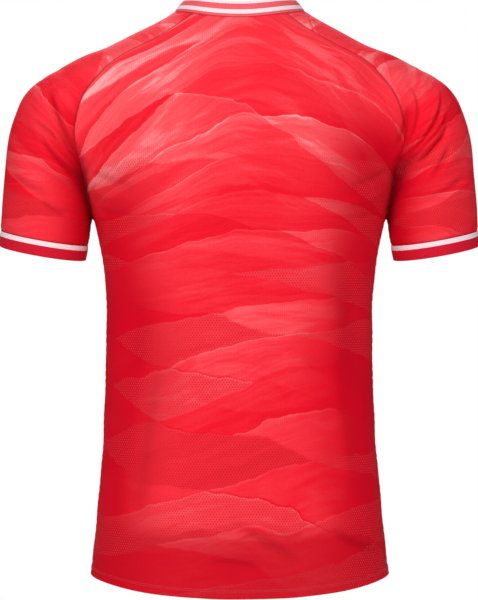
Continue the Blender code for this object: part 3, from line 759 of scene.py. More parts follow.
def cloth_piece(name, outer, inner, flat, material, closed=False, shade=None):
    """A wall between two grids, marked inside. Its faces are turned over if they point inwards."""
    rows, columns = outer.shape[:2]
    faces = wall_faces(rows, columns, closed)
    facing = np.cross(outer[:-1, 1:] - outer[:-1, :-1], outer[1:, :-1] - outer[:-1, :-1])
    if (facing * (outer - inner)[:-1, :-1]).sum() < 0:
        faces = faces[:, ::-1]
    corners = np.concatenate([outer.reshape(-1, 3), inner.reshape(-1, 3)])
    maps = np.concatenate([flat.reshape(-1, 2)] * 2)
    marks = {"inside": np.repeat((0.0, 1.0), rows * columns)}
    if shade is not None:
        marks["shade"] = np.concatenate([shade.ravel()] * 2)
    piece = new_piece(name, corners, faces, material, maps, marks)
    print(f"{name}: {rows} rows of {columns}, {len(faces)} faces")
    return piece


print("a wall between two grids of 3 x 3 points has", len(wall_faces(3, 3, closed=False)), "faces")

# %% [markdown]
# ## Colours and nodes
#
# Cloth colours are given as on a screen, in sRGB, and a shader works in linear light, so one function
# turns the one into the other. The second starts a material. The third adds a node with its settings
# and its links, so that each material below reads as a list of what it is made of.

# %% Helpers for materials
MIX_A, MIX_B = 6, 7  # the colour sockets of a Mix node
COLOUR_MIX = {"out": 2, "data_type": "RGBA"}
EASED = {"interpolation_type": "SMOOTHSTEP"}
USUAL_IOR = 1.5  # polyester and paint alike


def to_linear(colour):
    """c / 12.92 up to 0.04045, and ((c + 0.055) / 1.055) ^ 2.4 above it."""
    srgb = np.array([int(colour[i:i + 2], 16) for i in (1, 3, 5)]) / 255
    linear = np.where(srgb <= 0.04045, srgb / 12.92, ((srgb + 0.055) / 1.055) ** 2.4)
    return (*linear.tolist(), 1.0)


def new_material(name, roughness, specular=0.5):
    """A material with its tree and its shader's inputs. Nothing on a jersey is metal."""
    material = bpy.data.materials.new(name)
    material.use_nodes = True
    inputs = material.node_tree.nodes["Principled BSDF"].inputs
    inputs["Roughness"].default_value = roughness
    inputs["IOR"].default_value = USUAL_IOR
    inputs["Specular IOR Level"].default_value = specular
    return material, material.node_tree, inputs


def add(tree, kind, inputs, out=0, stops=(), **settings):
    """Adds a node, sets its properties, fills or links its sockets, in order or by key, gives an output."""
    node = tree.nodes.new("ShaderNode" + kind)
    for name, value in settings.items():
        setattr(node, name, value)
    for place, (position, colour) in enumerate(stops):
        ramp = node.color_ramp.elements
        stop = ramp[place] if place < 2 else ramp.new(position)
        stop.position = position
        stop.color = to_linear(colour)
    for key, value in inputs.items() if isinstance(inputs, dict) else enumerate(inputs):
        if isinstance(value, bpy.types.NodeSocket):
            tree.links.new(value, node.inputs[key])
        else:
            node.inputs[key].default_value = to_linear(value) if isinstance(value, str) else value
    return node.outputs[out]


print("a mid red in linear light:", np.round(to_linear("#F4293B"), 3))

# %% [markdown]
# ## The printed knit: bands and fields
#
# The body and sleeves are a thin polyester jacquard: dyed red, with a tonal print of soft overlapping
# waves, and knitted closed in some places and in an open eyelet mesh in others. A painted image would
# be quick, but it would blur close up. Here two sets of bands, bent by a slow noise, cross each other
# at a low angle and cut the cloth into lens-shaped fields. All of it is drawn on the cloth's own map,
# in metres, so that it follows the cloth over the shoulders.

# %% Bands bent by a noise
FIRST_BAND = {"height": 0.058, "lean": 0.22, "bend": 0.115, "noise": "Red"}
SECOND_BAND = {"height": 0.079, "lean": -0.30, "bend": 0.125, "noise": "Green"}
BEND_LENGTH = 0.2174
FAN_ROUNDNESS = 0.06


def fanned_slant(tree, across, up, cut):
    """sqrt(across ^ 2 + roundness ^ 2), more and more of it from one height to another."""
    fan = add(tree, "Math", (across, across, FAN_ROUNDNESS**2), operation="MULTIPLY_ADD")
    fan = add(tree, "Math", (fan,), operation="SQRT")
    low, high, most = cut["slant"]
    slant = add(tree, "MapRange", (up, low, high, 0.0, most), **EASED)
    return add(tree, "Math", (slant, fan), operation="MULTIPLY")


def bands(tree, across, up, moved, slant):
    """(up + lean x across + bend x noise + slant) / height: its whole part counts, the rest is the place."""
    noise = {"Vector": moved, "Scale": 1 / BEND_LENGTH, "Detail": 5.0, "Roughness": 0.49}
    slow = add(tree, "TexNoise", noise, out="Color")
    for band in (FIRST_BAND, SECOND_BAND):
        bend = add(tree, "SeparateColor", (slow,), out=band["noise"])
        place = add(tree, "Math", (across, band["lean"], up), operation="MULTIPLY_ADD")
        place = add(tree, "Math", (bend, band["bend"], place), operation="MULTIPLY_ADD")
        place = add(tree, "Math", (place, slant), operation="ADD")
        place = add(tree, "Math", (place, band["height"]), operation="DIVIDE")
        yield [add(tree, "Math", (place,), operation=part) for part in ("FLOOR", "FRACT")]


def field_chances(tree, numbers, start):
    """Three numbers from 0 to 1 by chance, the same all over the field where two bands cross."""
    field = add(tree, "CombineXYZ", (*numbers, start))
    chance = add(tree, "TexWhiteNoise", {"Vector": field}, out="Color", noise_dimensions="3D")
    return [add(tree, "SeparateColor", (chance,), out=part) for part in ("Red", "Green", "Blue")]


print("bands", FIRST_BAND["height"] * 1000, "and", SECOND_BAND["height"] * 1000, "mm high")

# %% [markdown]
# ## The printed knit: tones
#
# Each field gets its own tone by chance. Over it go feathering drawn out along the bands, cloudy
# patches that a brush might leave, hairlines where a band laps over the next one, and a speckle of
# single loops. Each is a number from 0 to 1 with a share of its own, and a colour ramp turns their
# sum into red. The print is lighter towards the shoulders.

# %% What makes a tone
TONES = ((0.0, "#E60820"), (1.0, "#FFA8AA"), (0.25, "#F4192E"), (0.5, "#FB3644"), (0.75, "#FF6068"))
FEATHER_LENGTH = 0.1429
FEATHERS_IN_BAND = 4.4
CLOUD_LENGTH = 0.1818
CLOUD_HEIGHT = 0.0526
SPECKLE_SIZE = 0.00303  # coarser than real loops, which are too fine to show
WALE_PITCH = 0.0026  # columns of loops, in groups for the same reason
CHANCE_SHARE = (0.38, -0.15)  # low down, and what the light upper part adds
PATCH_SHARE = (0.11, 0.42)
PATCH_EDGE = (0.49, 0.60)  # of the cloudy noise
BLADES = (0.02, 0.09, 0.16)  # the light upper part is lighter still to both sides of the middle
TONE_SHARES = {
    "first band": 0.13, "second band": -0.11, "feathers": 0.50, "speckle": 0.10, "patches": 1.0,
    "upper part": 0.355, "shoulder blades": 1.0, "hairlines": 0.30, "dark laps": -0.16, "wales": 0.025,
}
LAPS = (  # the band, where in it a lap starts and is full, the chance that calls for it, and its range
    (0, 0.945, 0.985, 2, 0.35, 0.45),
    (1, 0.960, 0.990, 1, 0.50, 0.60),
    (1, 0.035, 0.010, 2, 0.50, 0.60),  # the dark one
)


def brushed(tree, across, up, slant, band, cut):
    """Fine noise drawn out along the bands, and a coarser one turned by the cut's lean."""
    along = add(tree, "Math", (across, 1 / FEATHER_LENGTH), operation="MULTIPLY")
    through = add(tree, "Math", band, operation="ADD")
    through = add(tree, "Math", (through, FEATHERS_IN_BAND), operation="MULTIPLY")
    place = add(tree, "CombineXYZ", (along, through, cut["offset"][1]))
    fine = {"Vector": place, "Scale": 1.0, "Detail": 6.0, "Roughness": 0.66, "Distortion": 1.1}
    lifted = add(tree, "Math", (slant, up), operation="ADD")
    place = add(tree, "CombineXYZ", (across, lifted, cut["offset"][0]))
    size = (1 / CLOUD_LENGTH, 1 / CLOUD_HEIGHT, 1)
    turning = {"Vector": place, "Rotation": (0, 0, np.radians(cut["lean"])), "Scale": size}
    turned = add(tree, "Mapping", turning)
    coarse = {"Vector": turned, "Scale": 1.0, "Detail": 5.0, "Roughness": 0.55, "Distortion": 0.9}
    return add(tree, "TexNoise", fine, out="Fac"), add(tree, "TexNoise", coarse, out="Fac")


def laps(tree, places, chances):
    """For each lap, (place - start) / (full - start) x (chance - low) / (high - low), both from 0 to 1."""
    for band, start, full, field, low, high in LAPS:
        edge = add(tree, "MapRange", (places[band], start, full))
        called = add(tree, "MapRange", (chances[field], low, high))
        yield add(tree, "Math", (edge, called), operation="MULTIPLY")


def tone_of(tree, parts, chance, lighter, cloudy, middle, cut):
    """plainness + chance x its share + the sum of every part x its share."""
    patches = add(tree, "MapRange", (cloudy, *PATCH_EDGE), **EASED)
    lighter_too = add(tree, "Math", (lighter, lighter), operation="MULTIPLY")
    share = add(tree, "Math", (lighter_too, PATCH_SHARE[1], PATCH_SHARE[0]), operation="MULTIPLY_ADD")
    parts["patches"] = add(tree, "Math", (patches, share), operation="MULTIPLY")
    inner, outer, most = BLADES
    blades = add(tree, "MapRange", (middle, inner, outer, 0.0, most), **EASED)
    parts["shoulder blades"] = add(tree, "Math", (blades, lighter), operation="MULTIPLY")
    parts["upper part"] = lighter
    share = add(tree, "Math", (lighter, CHANCE_SHARE[1], CHANCE_SHARE[0]), operation="MULTIPLY_ADD")
    tone = add(tree, "Math", (chance, share, cut["plainness"]), operation="MULTIPLY_ADD")
    for name, share in TONE_SHARES.items():
        tone = add(tree, "Math", (parts[name], share, tone), operation="MULTIPLY_ADD")
    return tone


print(len(TONE_SHARES), "parts besides chance make a tone")

# %% [markdown]
# ## The printed knit: mesh and plain flanks
#
# A staggered lattice of holes, where two cosines meet, opens the knit into mesh in some of the
# fields. The flanks are left plain, a deep crimson that is widest at the waist. The cloth above the
# hem is darkened to crimson too, as painted shade where the hem turns away from the light. A painted
# mask would do the same, but a distance from the middle needs no image.

# %% Where the knit is open and where it is plain
EYELET_PITCH = 0.0035
EYELET_ROW_PITCH = EYELET_PITCH * np.sqrt(3)  # so that every hole has six neighbours at one distance
EYELET_EDGE = (0.25, 0.70)
MESH_CHANCE = (0.50, 0.51)  # fields with a higher number are mesh
MESH_FADE = 0.004
WAIST_UP = 0.27
WAIST_REACH = 0.15
FLANK_LEAN = 0.25  # the flanks end lower on the wearer's left
FLANK_FADE = 0.09
# painted shade above the hem: none this high over it, full from this height down
HEM_SHADE_ZONE = (0.092, 0.062)
FEATHERED = {"flank": 0.04, "hem": 0.03}  # how far feathering moves an edge
FEATHER_MIDDLE = 0.02


def wave_over(tree, place, pitch, operation):
    """sin or cos of 2 pi place / pitch."""
    turns = add(tree, "Math", (place, 2 * np.pi / pitch), operation="MULTIPLY")
    return add(tree, "Math", (turns,), operation=operation)


def eyelets(tree, across, up, chance, cut):
    """cos(2 pi u / pitch) x cos(2 pi v / row pitch) peaks at each hole. Chance picks the fields of mesh."""
    columns = wave_over(tree, across, EYELET_PITCH, "COSINE")
    courses = wave_over(tree, up, EYELET_ROW_PITCH, "COSINE")
    lattice = add(tree, "Math", (columns, courses), operation="MULTIPLY")
    holes = add(tree, "MapRange", (lattice, *EYELET_EDGE))
    meshed = add(tree, "MapRange", (chance, *MESH_CHANCE))
    below = add(tree, "MapRange", (up, cut["mesh_to"] + MESH_FADE, cut["mesh_to"]))
    meshed = add(tree, "Math", (meshed, below), operation="MULTIPLY")
    return meshed, add(tree, "Math", (holes, meshed), operation="MULTIPLY")


def plain_flanks_and_hem_shade(tree, across, up, middle, feathers, cut):
    """The share of plain colour at the flanks, and of painted shade above the hem, with feathered edges."""
    side = add(tree, "Math", (feathers, FEATHERED["flank"], middle), operation="MULTIPLY_ADD")
    from_waist = add(tree, "Math", (up, WAIST_UP), operation="SUBTRACT")
    from_waist = add(tree, "Math", (from_waist,), operation="ABSOLUTE")
    wider = add(tree, "MapRange", (from_waist, WAIST_REACH, 0.0, 0.0, cut["waist_more"]))
    side = add(tree, "Math", (side, wider), operation="ADD")
    inner, outer, most = cut["flank"]
    inner, outer = inner + FEATHER_MIDDLE, outer + FEATHER_MIDDLE
    side = add(tree, "MapRange", (side, inner, outer, 0.0, most), **EASED)
    leaning_up = add(tree, "Math", (across, FLANK_LEAN, up), operation="MULTIPLY_ADD")
    ending = add(tree, "MapRange", (leaning_up, cut["flank_to"] + FLANK_FADE, cut["flank_to"]), **EASED)
    # painted shade: the cloth just above the hem darkens, standing in for the shade where it turns away
    low = add(tree, "Math", (feathers, FEATHERED["hem"], up), operation="MULTIPLY_ADD")
    low = add(tree, "MapRange", (low, *HEM_SHADE_ZONE, 0.0, cut["hem_share"]), **EASED)
    return add(tree, "Math", (side, ending), operation="MULTIPLY"), low


print("rows of eyelets", round(EYELET_ROW_PITCH / 2 * 1000, 2), "mm apart")

# %% [markdown]
# ## The printed knit: the whole cloth
# The ramp's colour is the print. Over it lie the tint of the mesh, the plain flanks, painted shade
# above the hem, painted shade in the armhole, on the seams and in every crease's hollow (the seam
# lines are part stitching too), the holes, and on the inside the unprinted yarn. The relief is the
# same knit as a height: columns of loops, holes, and a step where the knit changes. Making it as
# geometry would take millions of faces for what is a tenth of a millimetre high.

# %% Printed jacquard knit
MESH_COLOUR = "#FF6A70"
FLANK_COLOUR = "#D60220"
# painted shade above the hem, where the cloth turns in and down away from the light
HEM_SHADE_COLOUR = "#C8081F"
# painted shade: the dark crimson laid in the armhole's hollow, on the seams and in the creases' troughs
PAINTED_SHADE_COLOUR = "#70000E"
HOLE_COLOURS = ("#B80A1E", "#F8525E")  # in the print, and on a plain flank
WRONG_SIDE_COLOUR = "#C9182C"
# the middle share is how far painted shade goes towards its colour where the shade mark is full
MESH_SHARE, PAINTED_SHADE_SHARE, HOLE_SHARE = 0.10, 0.84, 0.46
KNIT_RELIEF = {"wales": 0.08, "speckle": 0.22, "holes": -0.9, "mesh": -0.3}
KNIT_RELIEF_HEIGHT = 0.0004


def printed_knit(name, **cut):
    """Dyed and printed polyester jacquard knit. It is matt, as its loops scatter what light they reflect."""
    material, tree, shader = new_material(name, roughness=0.75, specular=0.05)
    cloth = add(tree, "UVMap", (), uv_map="cloth")
    across = add(tree, "SeparateXYZ", (cloth,), out="X")
    up = across.node.outputs["Y"]
    middle = add(tree, "Math", (across,), operation="ABSOLUTE")
    moved = add(tree, "VectorMath", (cloth, cut["offset"]), operation="ADD")
    lighter = add(tree, "MapRange", (up, *cut["upper"][:2], 0.0, cut["upper"][2]), **EASED)

    slant = fanned_slant(tree, across, up, cut)
    first, second = bands(tree, across, up, moved, slant)
    places = (first[1], second[1])
    chances = field_chances(tree, (first[0], second[0]), cut["offset"][0])
    feathers, cloudy = brushed(tree, across, up, slant, first, cut)
    grain = {"Vector": moved, "Scale": 1 / SPECKLE_SIZE, "Detail": 1.0}
    speckle = add(tree, "TexNoise", grain, out="Fac")
    wales = wave_over(tree, across, WALE_PITCH, "SINE")
    lap, other_lap, dark_lap = laps(tree, places, chances)
    lines = add(tree, "Math", (lap, other_lap), operation="MAXIMUM")
    lines = add(tree, "Math", (lines, cloudy), operation="MULTIPLY")
    parts = {
        "first band": places[0], "second band": places[1], "feathers": feathers, "speckle": speckle,
        "hairlines": lines, "dark laps": dark_lap, "wales": wales,
    }
    tone = tone_of(tree, parts, chances[0], lighter, cloudy, middle, cut)
    meshed, holes = eyelets(tree, across, up, chances[1], cut)
    side, low = plain_flanks_and_hem_shade(tree, across, up, middle, feathers, cut)
    # painted shade: the 'shade' mark darkens the armhole, the seams and the creases' hollows
    painted_shade = add(tree, "Attribute", (), out="Fac", attribute_name="shade")
    inside = add(tree, "Attribute", (), out="Fac", attribute_name="inside")

    tint, painted_shade, shade = (
        add(tree, "Math", (part, share), operation="MULTIPLY")
        for part, share in ((meshed, MESH_SHARE), (painted_shade, PAINTED_SHADE_SHARE), (holes, HOLE_SHARE))
    )
    holes_on = {0: side, MIX_A: HOLE_COLOURS[0], MIX_B: HOLE_COLOURS[1]}
    hole_colour = add(tree, "Mix", holes_on, **COLOUR_MIX)
    colour = add(tree, "ValToRGB", (tone,), out="Color", stops=TONES)
    # of these layers the hem's and the shade mark's are painted shade; the rest is the knit's own colour
    layers = (
        (tint, MESH_COLOUR), (side, FLANK_COLOUR), (low, HEM_SHADE_COLOUR), (painted_shade, PAINTED_SHADE_COLOUR),
        (shade, hole_colour), (inside, WRONG_SIDE_COLOUR),
    )
    for share, over in layers:
        colour = add(tree, "Mix", {0: share, MIX_A: colour, MIX_B: over}, **COLOUR_MIX)
    tree.links.new(colour, shader["Base Color"])

    heights = {"wales": wales, "speckle": speckle, "holes": holes, "mesh": meshed}
    relief = 0.5
    for part, height in KNIT_RELIEF.items():
        relief = add(tree, "Math", (heights[part], height, relief), operation="MULTIPLY_ADD")
    bump = {"Height": relief, "Strength": 0.8, "Distance": KNIT_RELIEF_HEIGHT}
    tree.links.new(add(tree, "Bump", bump), shader["Normal"])
    return material


print("relief of the knit", KNIT_RELIEF_HEIGHT * 1000, "mm")

# %% The four cuts of printed knit
# hem_share is how much painted shade darkens the cloth just above the hem
BODY_CUT = {
    "plainness": -0.175, "flank": (0.078, 0.165, 0.96), "flank_to": 0.485, "waist_more": 0.030,
    "hem_share": 0.72,
}
SLEEVE_CUT = {
    "plainness": -0.185, "flank": (0.090, 0.150, 0.94), "flank_to": 0.16, "waist_more": 0.0,
    "hem_share": 0.0, "upper": (0.14, 0.28, 0.60), "slant": (0.00, 0.20, 0.60),
}
BACK_KNIT = printed_knit(
    "printed_jacquard_knit_back", offset=(0.31, 0.12, 0.0), upper=(0.22, 0.66, 0.46),
    slant=(0.26, 0.56, 0.80), mesh_to=0.52, lean=-6.0, **BODY_CUT,
)
FRONT_KNIT = printed_knit(
    "printed_jacquard_knit_front", offset=(4.15, 2.40, 0.0), upper=(0.22, 0.62, 0.42),
    slant=(0.26, 0.56, 0.72), mesh_to=0.50, lean=8.0, **BODY_CUT,
)
LEFT_KNIT = printed_knit(
    "printed_jacquard_knit_left", offset=(7.20, 5.10, 0.0), mesh_to=0.05, lean=5.0, **SLEEVE_CUT,
)
RIGHT_KNIT = printed_knit(
    "printed_jacquard_knit_right", offset=(1.70, 8.30, 0.0), mesh_to=0.12, lean=-5.0, **SLEEVE_CUT,
)
KNITS = (BACK_KNIT, FRONT_KNIT, LEFT_KNIT, RIGHT_KNIT)
print("printed knits:", ", ".join(knit.name for knit in KNITS))

# %% [markdown]
# ## The rib of the bands
#
# Collar and cuffs are knitted as bands of double rib in a plainer yarn, with their white stripes
# knitted in. The stripes' places are distances across the band, so they are read off its own map, and
# the ribs are a sine along it.

# %% The rib and its stripes
RIB_PITCH = 0.0018
STRIPE_BLUR = 0.0003
STRIPE_WAVER = 0.0006
STRIPE_COLOUR = "#FAE4EA"
FUZZ_SIZE = 0.00238  # coarser than real yarn, so that it shows
RIB_SHARE = 0.3  # of the relief, over the fuzz
RIB_RELIEF_HEIGHT = 0.0003


def striped_rib(name, colours, stripes):
    """Double-knit polyester rib. Its close loops are matt, and its ribs catch a little light."""
    material, tree, shader = new_material(name, roughness=0.72, specular=0.12)
    cloth = add(tree, "UVMap", (), uv_map="cloth")
    along = add(tree, "SeparateXYZ", (cloth,), out="X")
    across = along.node.outputs["Y"]
    fuzz = add(tree, "TexNoise", {"Vector": cloth, "Scale": 1 / FUZZ_SIZE, "Detail": 2.0}, out="Fac")
    wavy = add(tree, "Math", (fuzz, STRIPE_WAVER, across), operation="MULTIPLY_ADD")
    white = 0.0
    for low, high in stripes:
        above = add(tree, "MapRange", (wavy, low, low + STRIPE_BLUR))
        below = add(tree, "MapRange", (wavy, high + STRIPE_BLUR, high))
        stripe = add(tree, "Math", (above, below), operation="MULTIPLY")
        white = add(tree, "Math", (stripe, white), operation="MAXIMUM")
    dyed = add(tree, "Mix", {0: fuzz, MIX_A: colours[0], MIX_B: colours[1]}, **COLOUR_MIX)
    coloured = add(tree, "Mix", {0: white, MIX_A: dyed, MIX_B: STRIPE_COLOUR}, **COLOUR_MIX)
    tree.links.new(coloured, shader["Base Color"])
    ribs = wave_over(tree, along, RIB_PITCH, "SINE")
    relief = add(tree, "Math", (ribs, RIB_SHARE, fuzz), operation="MULTIPLY_ADD")
    bump = {"Height": relief, "Strength": 0.5, "Distance": RIB_RELIEF_HEIGHT}
    tree.links.new(add(tree, "Bump", bump), shader["Normal"])
    return material


COLLAR_RIB = striped_rib("striped_rib_collar", ("#F0505C", "#FA7077"), ((0.0034, 0.0088), (0.0166, 0.0300)))
CUFF_RIB = striped_rib("striped_rib_cuff", ("#CE0A28", "#DE1A36"), ((0.0005, 0.0064),))
print("ribs", RIB_PITCH * 1000, "mm apart")

# %% [markdown]
# ## The body pieces
#
# Everything is ready for the two large pieces. Their map runs in metres too: across from the middle of
# each row, and up each column from the hem.

# %% Back and front
# painted shade: the armhole's hollow, a thin line on each seam and the creases' troughs are darkened in the
# colour
ARMHOLE_SHADE_TOP = -0.160
ARMHOLE_SHADE_FADE = 0.045
ARMHOLE_REACH_BODY = 0.0075
ARMHOLE_REACH_SLEEVE = 0.0165
SEAM_LINE_SHARE = 0.5
SEAM_LINE_REACH = 0.0013
# painted shade in the creases' troughs: its share at full, the depth that reaches it, and its easing
HOLLOW_SHADE_SHARE = 0.36
HOLLOW_DEPTH = 0.0045  # a hollow as deep as this takes its whole share
HOLLOW_POWER = 1.4


def lie_flat(points):
    """u is the level distance from the row's middle, v the distance up the column from the hem."""
    level = points * (1, 1, 0)
    along = runs(level, 1)[0]
    middle = along[:, along.shape[1] // 2][:, None]
    start = points[:1, :, 2] - points[:1, :, 2].max()
    return np.stack([along - middle, runs(points, 0)[0] + start], -1)


def relief(points, normals):
    """The folds, the creases and the rumples together, and the creases alone."""
    folds = fold_height(points, normals, FOLDS, FOLD_CURVE_POINTS)
    creases = fold_height(points, normals, CREASES, CREASE_CURVE_POINTS)
    return folds + creases + rumples(points), creases


def cloth_area(points):
    """The sum of |step up x step across| over the grid's cells."""
    up, across = points[1:, :-1] - points[:-1, :-1], points[:-1, 1:] - points[:-1, :-1]
    return np.linalg.norm(np.cross(up, across), axis=-1).sum()


def shade_mark(points, raglans, reach, from_seam, creases):
    """Painted shade: exp(-(distance / reach) ^ 2) from the low armhole, a dark seam line that is part
    stitching and part shade, or a hollow's depth.
    """
    away = np.linalg.norm(points[:, :, None] - raglans, axis=-1).min(-1)
    fading = np.clip((ARMHOLE_SHADE_TOP - points[..., 2]) / ARMHOLE_SHADE_FADE, 0.0, 1.0)
    line = SEAM_LINE_SHARE * np.exp(-((from_seam / SEAM_LINE_REACH) ** 2))
    hollow = HOLLOW_SHADE_SHARE * np.clip(-creases / HOLLOW_DEPTH, 0.0, 1.0) ** HOLLOW_POWER
    return np.maximum(np.exp(-((away / reach) ** 2)) * fading, np.maximum(line, hollow))


hem_lines = {}
inner_sheets = {}
for name, face, knit in (("back_panel", 1, BACK_KNIT), ("front_panel", -1, FRONT_KNIT)):
    points = panel_points(face)
    normals = outward(points)
    from_hem, from_neck = runs(points, 0)
    from_edges = np.minimum(*runs(points, 1))
    from_seam = np.minimum(from_edges, from_neck)
    outer = drawn_back(points, normals)
    height, creases = relief(outer, normals)
    hem = hem_height(from_hem) * np.clip(from_edges / HEM_SIDE_EASE, 0, 1)
    outer = outer + normals * (height + seam_height(points, from_seam) + hem)[..., None]
    inner = outer - normals * hem_wall(from_hem)[..., None]
    inner_sheets[name] = (inner, normals)
    raglans = points[-RAGLAN_CELLS - 1:, [0, -1]].reshape(-1, 3)
    # painted shade in the armhole, on the seams and in the creases' hollows
    shade = shade_mark(points, raglans, ARMHOLE_REACH_BODY, from_seam, creases)
    piece = cloth_piece(name + "_knit", outer, inner, lie_flat(points), knit, shade=shade)
    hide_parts(name)
    hem_lines[name] = [(outer[row], normals[row]) for row in HEM_STITCH_ROWS]
    flat_width = runs(points, 1)[0][:, -1].max()
    flat_length = runs(points, 0)[0][-1, BODY_CELLS // 2]
    print(f"{name}: cut {flat_width:.3f} x {flat_length:.3f} m, {cloth_area(points):.4f} square metres")

# %% [markdown]
# ## The sleeves
#
# One sleeve is worked out and the other is its mirror image, but the folds are laid on each in its own
# place, because no two sleeves of a worn jersey crease alike.

# %% Both sleeves
sleeve = sleeve_points()
sleeve_out = outward(sleeve)
for side, mirror, knit in (("left", 1, LEFT_KNIT), ("right", -1, RIGHT_KNIT)):
    name = "sleeve_" + side
    points, normals = sleeve * (mirror, 1, 1), sleeve_out * (mirror, 1, 1)
    from_seam = np.minimum(np.minimum(*runs(points, 0)), np.minimum(*runs(points, 1)))
    outer = drawn_back(points, normals)
    height, creases = relief(outer, normals)
    outer = outer + normals * (height + seam_height(points, from_seam))[..., None]
    inner = outer - normals * CLOTH_WALL
    inner_sheets[name] = (inner, normals)
    flat = np.stack([runs(points, 1)[0], runs(points, 0)[0]], -1)
    flat[..., 0] -= flat[:, SLEEVE_CELLS // 2, 0][:, None]
    raglans = points[-RAGLAN_CELLS - 1:, [0, -1]].reshape(-1, 3)
    # painted shade in the armhole, on the seams and in the creases' hollows
    shade = shade_mark(points, raglans, ARMHOLE_REACH_SLEEVE, from_seam, creases)
    piece = cloth_piece(name + "_knit", outer, inner, flat, knit, shade=shade)
    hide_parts(name)
flat_width, flat_length = np.ptp(flat[..., 0]), flat[..., 1].max()
print(f"sleeve: {flat_width:.3f} x {flat_length:.3f} m, {cloth_area(points):.4f} square metres")

# %% [markdown]
# ## Seam allowances
#
# Inside each seam the two edges are overlocked together and pressed flat, so a strip of double cloth
# runs along it. A bevelled curve would stand off the cloth. The strip is taken from the edge points
# of both pieces instead, just below their inner faces, so it follows every pucker of the seam.

# %% Strips along the seams
ALLOWANCE_WALL = 0.0010
ALLOWANCE_BELOW = 0.0002
ALLOWANCE_COLUMNS = len(EDGE_CELLS)
ALLOWANCE_HEM_ROW = 2  # the side seam's strip starts just above the hem's edge
OVERLOCK_PITCH = 0.0022
WAVE_UNIT = 2 * np.pi / 20  # a wave texture of scale 1 repeats after this many metres

ALLOWANCE_YARN, tree, shader = new_material("overlocked_polyester_yarn", roughness=0.8)
cloth = add(tree, "UVMap", (), uv_map="cloth")
wave = {"Vector": cloth, "Scale": WAVE_UNIT / OVERLOCK_PITCH, "Distortion": 1.0}
loops = add(tree, "TexWave", wave, out="Fac", bands_direction="Y")
colour = add(tree, "Mix", {0: loops, MIX_A: "#A81424", MIX_B: "#CC2036"}, **COLOUR_MIX)
tree.links.new(colour, shader["Base Color"])
allowances = {}


def allowance(name, one, other, node):
    """A thin strip over the columns nearest the seam, those of one piece and then of the other."""
    near = slice(ALLOWANCE_COLUMNS, 0, -1), slice(1, ALLOWANCE_COLUMNS + 1)
    points, normals = (np.concatenate([a[:, near[0]], b[:, near[1]]], 1) for a, b in zip(one, other))
    normals = unit(normals)
    top = points - normals * ALLOWANCE_BELOW
    flat = np.stack([runs(points, 1)[0], runs(points, 0)[0]], -1)
    strip = cloth_piece(name, top, top - normals * ALLOWANCE_WALL, flat, ALLOWANCE_YARN)
    allowances.setdefault(node, []).append(strip)


print("strips", ALLOWANCE_WALL * 1000, "mm thick, overlocked every", OVERLOCK_PITCH * 1000, "mm")

# %% Every seam's strip
raglan = slice(-RAGLAN_CELLS - 1, None)
below = slice(ALLOWANCE_HEM_ROW, -RAGLAN_CELLS)
tube = slice(None, UNDERARM_SEAM_CELLS + 1)
for side, turned_round in (("left", True), ("right", False)):
    sleeve_node = "sleeve_" + side
    back, front = (
        [a[:, ::-1] if turned_round else a for a in inner_sheets[name]]
        for name in ("back_panel", "front_panel")
    )
    sleeve_back = inner_sheets[sleeve_node]
    sleeve_front = [a[:, ::-1] for a in sleeve_back]
    seams = {
        "raglan_seam_back": (back, sleeve_back, raglan, sleeve_node),
        "raglan_seam_front": (front, sleeve_front, raglan, sleeve_node),
        "side_seam": (back, front, below, "back_panel"),
        "underarm_seam": (sleeve_back, sleeve_front, tube, sleeve_node),
    }
    for seam, (one, other, rows, node) in seams.items():
        allowance(f"{seam}_{side}", [a[rows] for a in one], [a[rows] for a in other], node)

# %% [markdown]
# ## Bands with a folded edge
#
# A band is a strip of rib folded double along its free edge, so its section is a thin shape rounded at
# that end. The section is the same all the way round, and it is carried along the ring of the neck or
# the arm. A bevelled curve would twist where the ring bends, and a grid of rings doesn't.

# %% The section of a band
RIB_WALL = 0.0022
BAND_ROWS = np.array((
    0.0, 0.0006, 0.0014, 0.0026, 0.0046, 0.0070, 0.0096, 0.0122, 0.0146, 0.0166, 0.0180, 0.0189, 0.0195,
    0.0199,
))[:, None]
BAND_HEIGHT = 0.0200
BAND_FULLNESS = 0.0004
BAND_EVENNESS = 0.7  # a double band rumples less than a single cloth, and its seam dips less
BAND_DIP = 0.6
ROUNDEST = 0.995  # a hair short of 1, so that the edge keeps some thickness
EDGE_BEAD = {"from": 0.0168, "over": 0.001, "height": 0.0002}


def band(name, middle, normals, height, node, material):
    """Both faces at middle +- half thickness, which ends as sqrt(1 - t ^ 2) at the folded edge."""
    half_wall = RIB_WALL / 2
    rounding = np.clip((height - height.max() + half_wall) / half_wall, 0.0, ROUNDEST)
    bead = EDGE_BEAD["height"] * np.clip((height - EDGE_BEAD["from"]) / EDGE_BEAD["over"], 0, 1)
    half = half_wall * np.sqrt(1 - rounding**2) + bead * (1 - rounding)
    full = BAND_FULLNESS * np.sin(np.pi * np.clip(height / BAND_HEIGHT, 0, 1))
    dip = BAND_DIP * SEAM_DIP * np.exp(-((height / SEAM_DIP_WIDTH) ** 2))
    centre = middle + normals * (full - dip + rumples(middle) * BAND_EVENNESS)[..., None]
    around = runs(np.concatenate([middle, middle[:, :1]], 1), 1)[0][:, :-1]
    flat = np.stack([np.broadcast_to(around[0], height.shape), height], -1)
    out = normals * half[..., None]
    piece = cloth_piece(name, centre + out, centre - out, flat, material, closed=True)
    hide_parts(node)
    print(f"{name}: {around.max():.3f} m round")
    return piece


print("a band has", len(BAND_ROWS), "rows of points on each face")

# %% The collar
COLLAR_HEIGHT = 0.0205
COLLAR_LEAN = {"side": 0.84, "back": 0.27, "front": 0.50}
COLLAR_TURN = 0.004  # over this height it turns from the shoulder's slope to its own

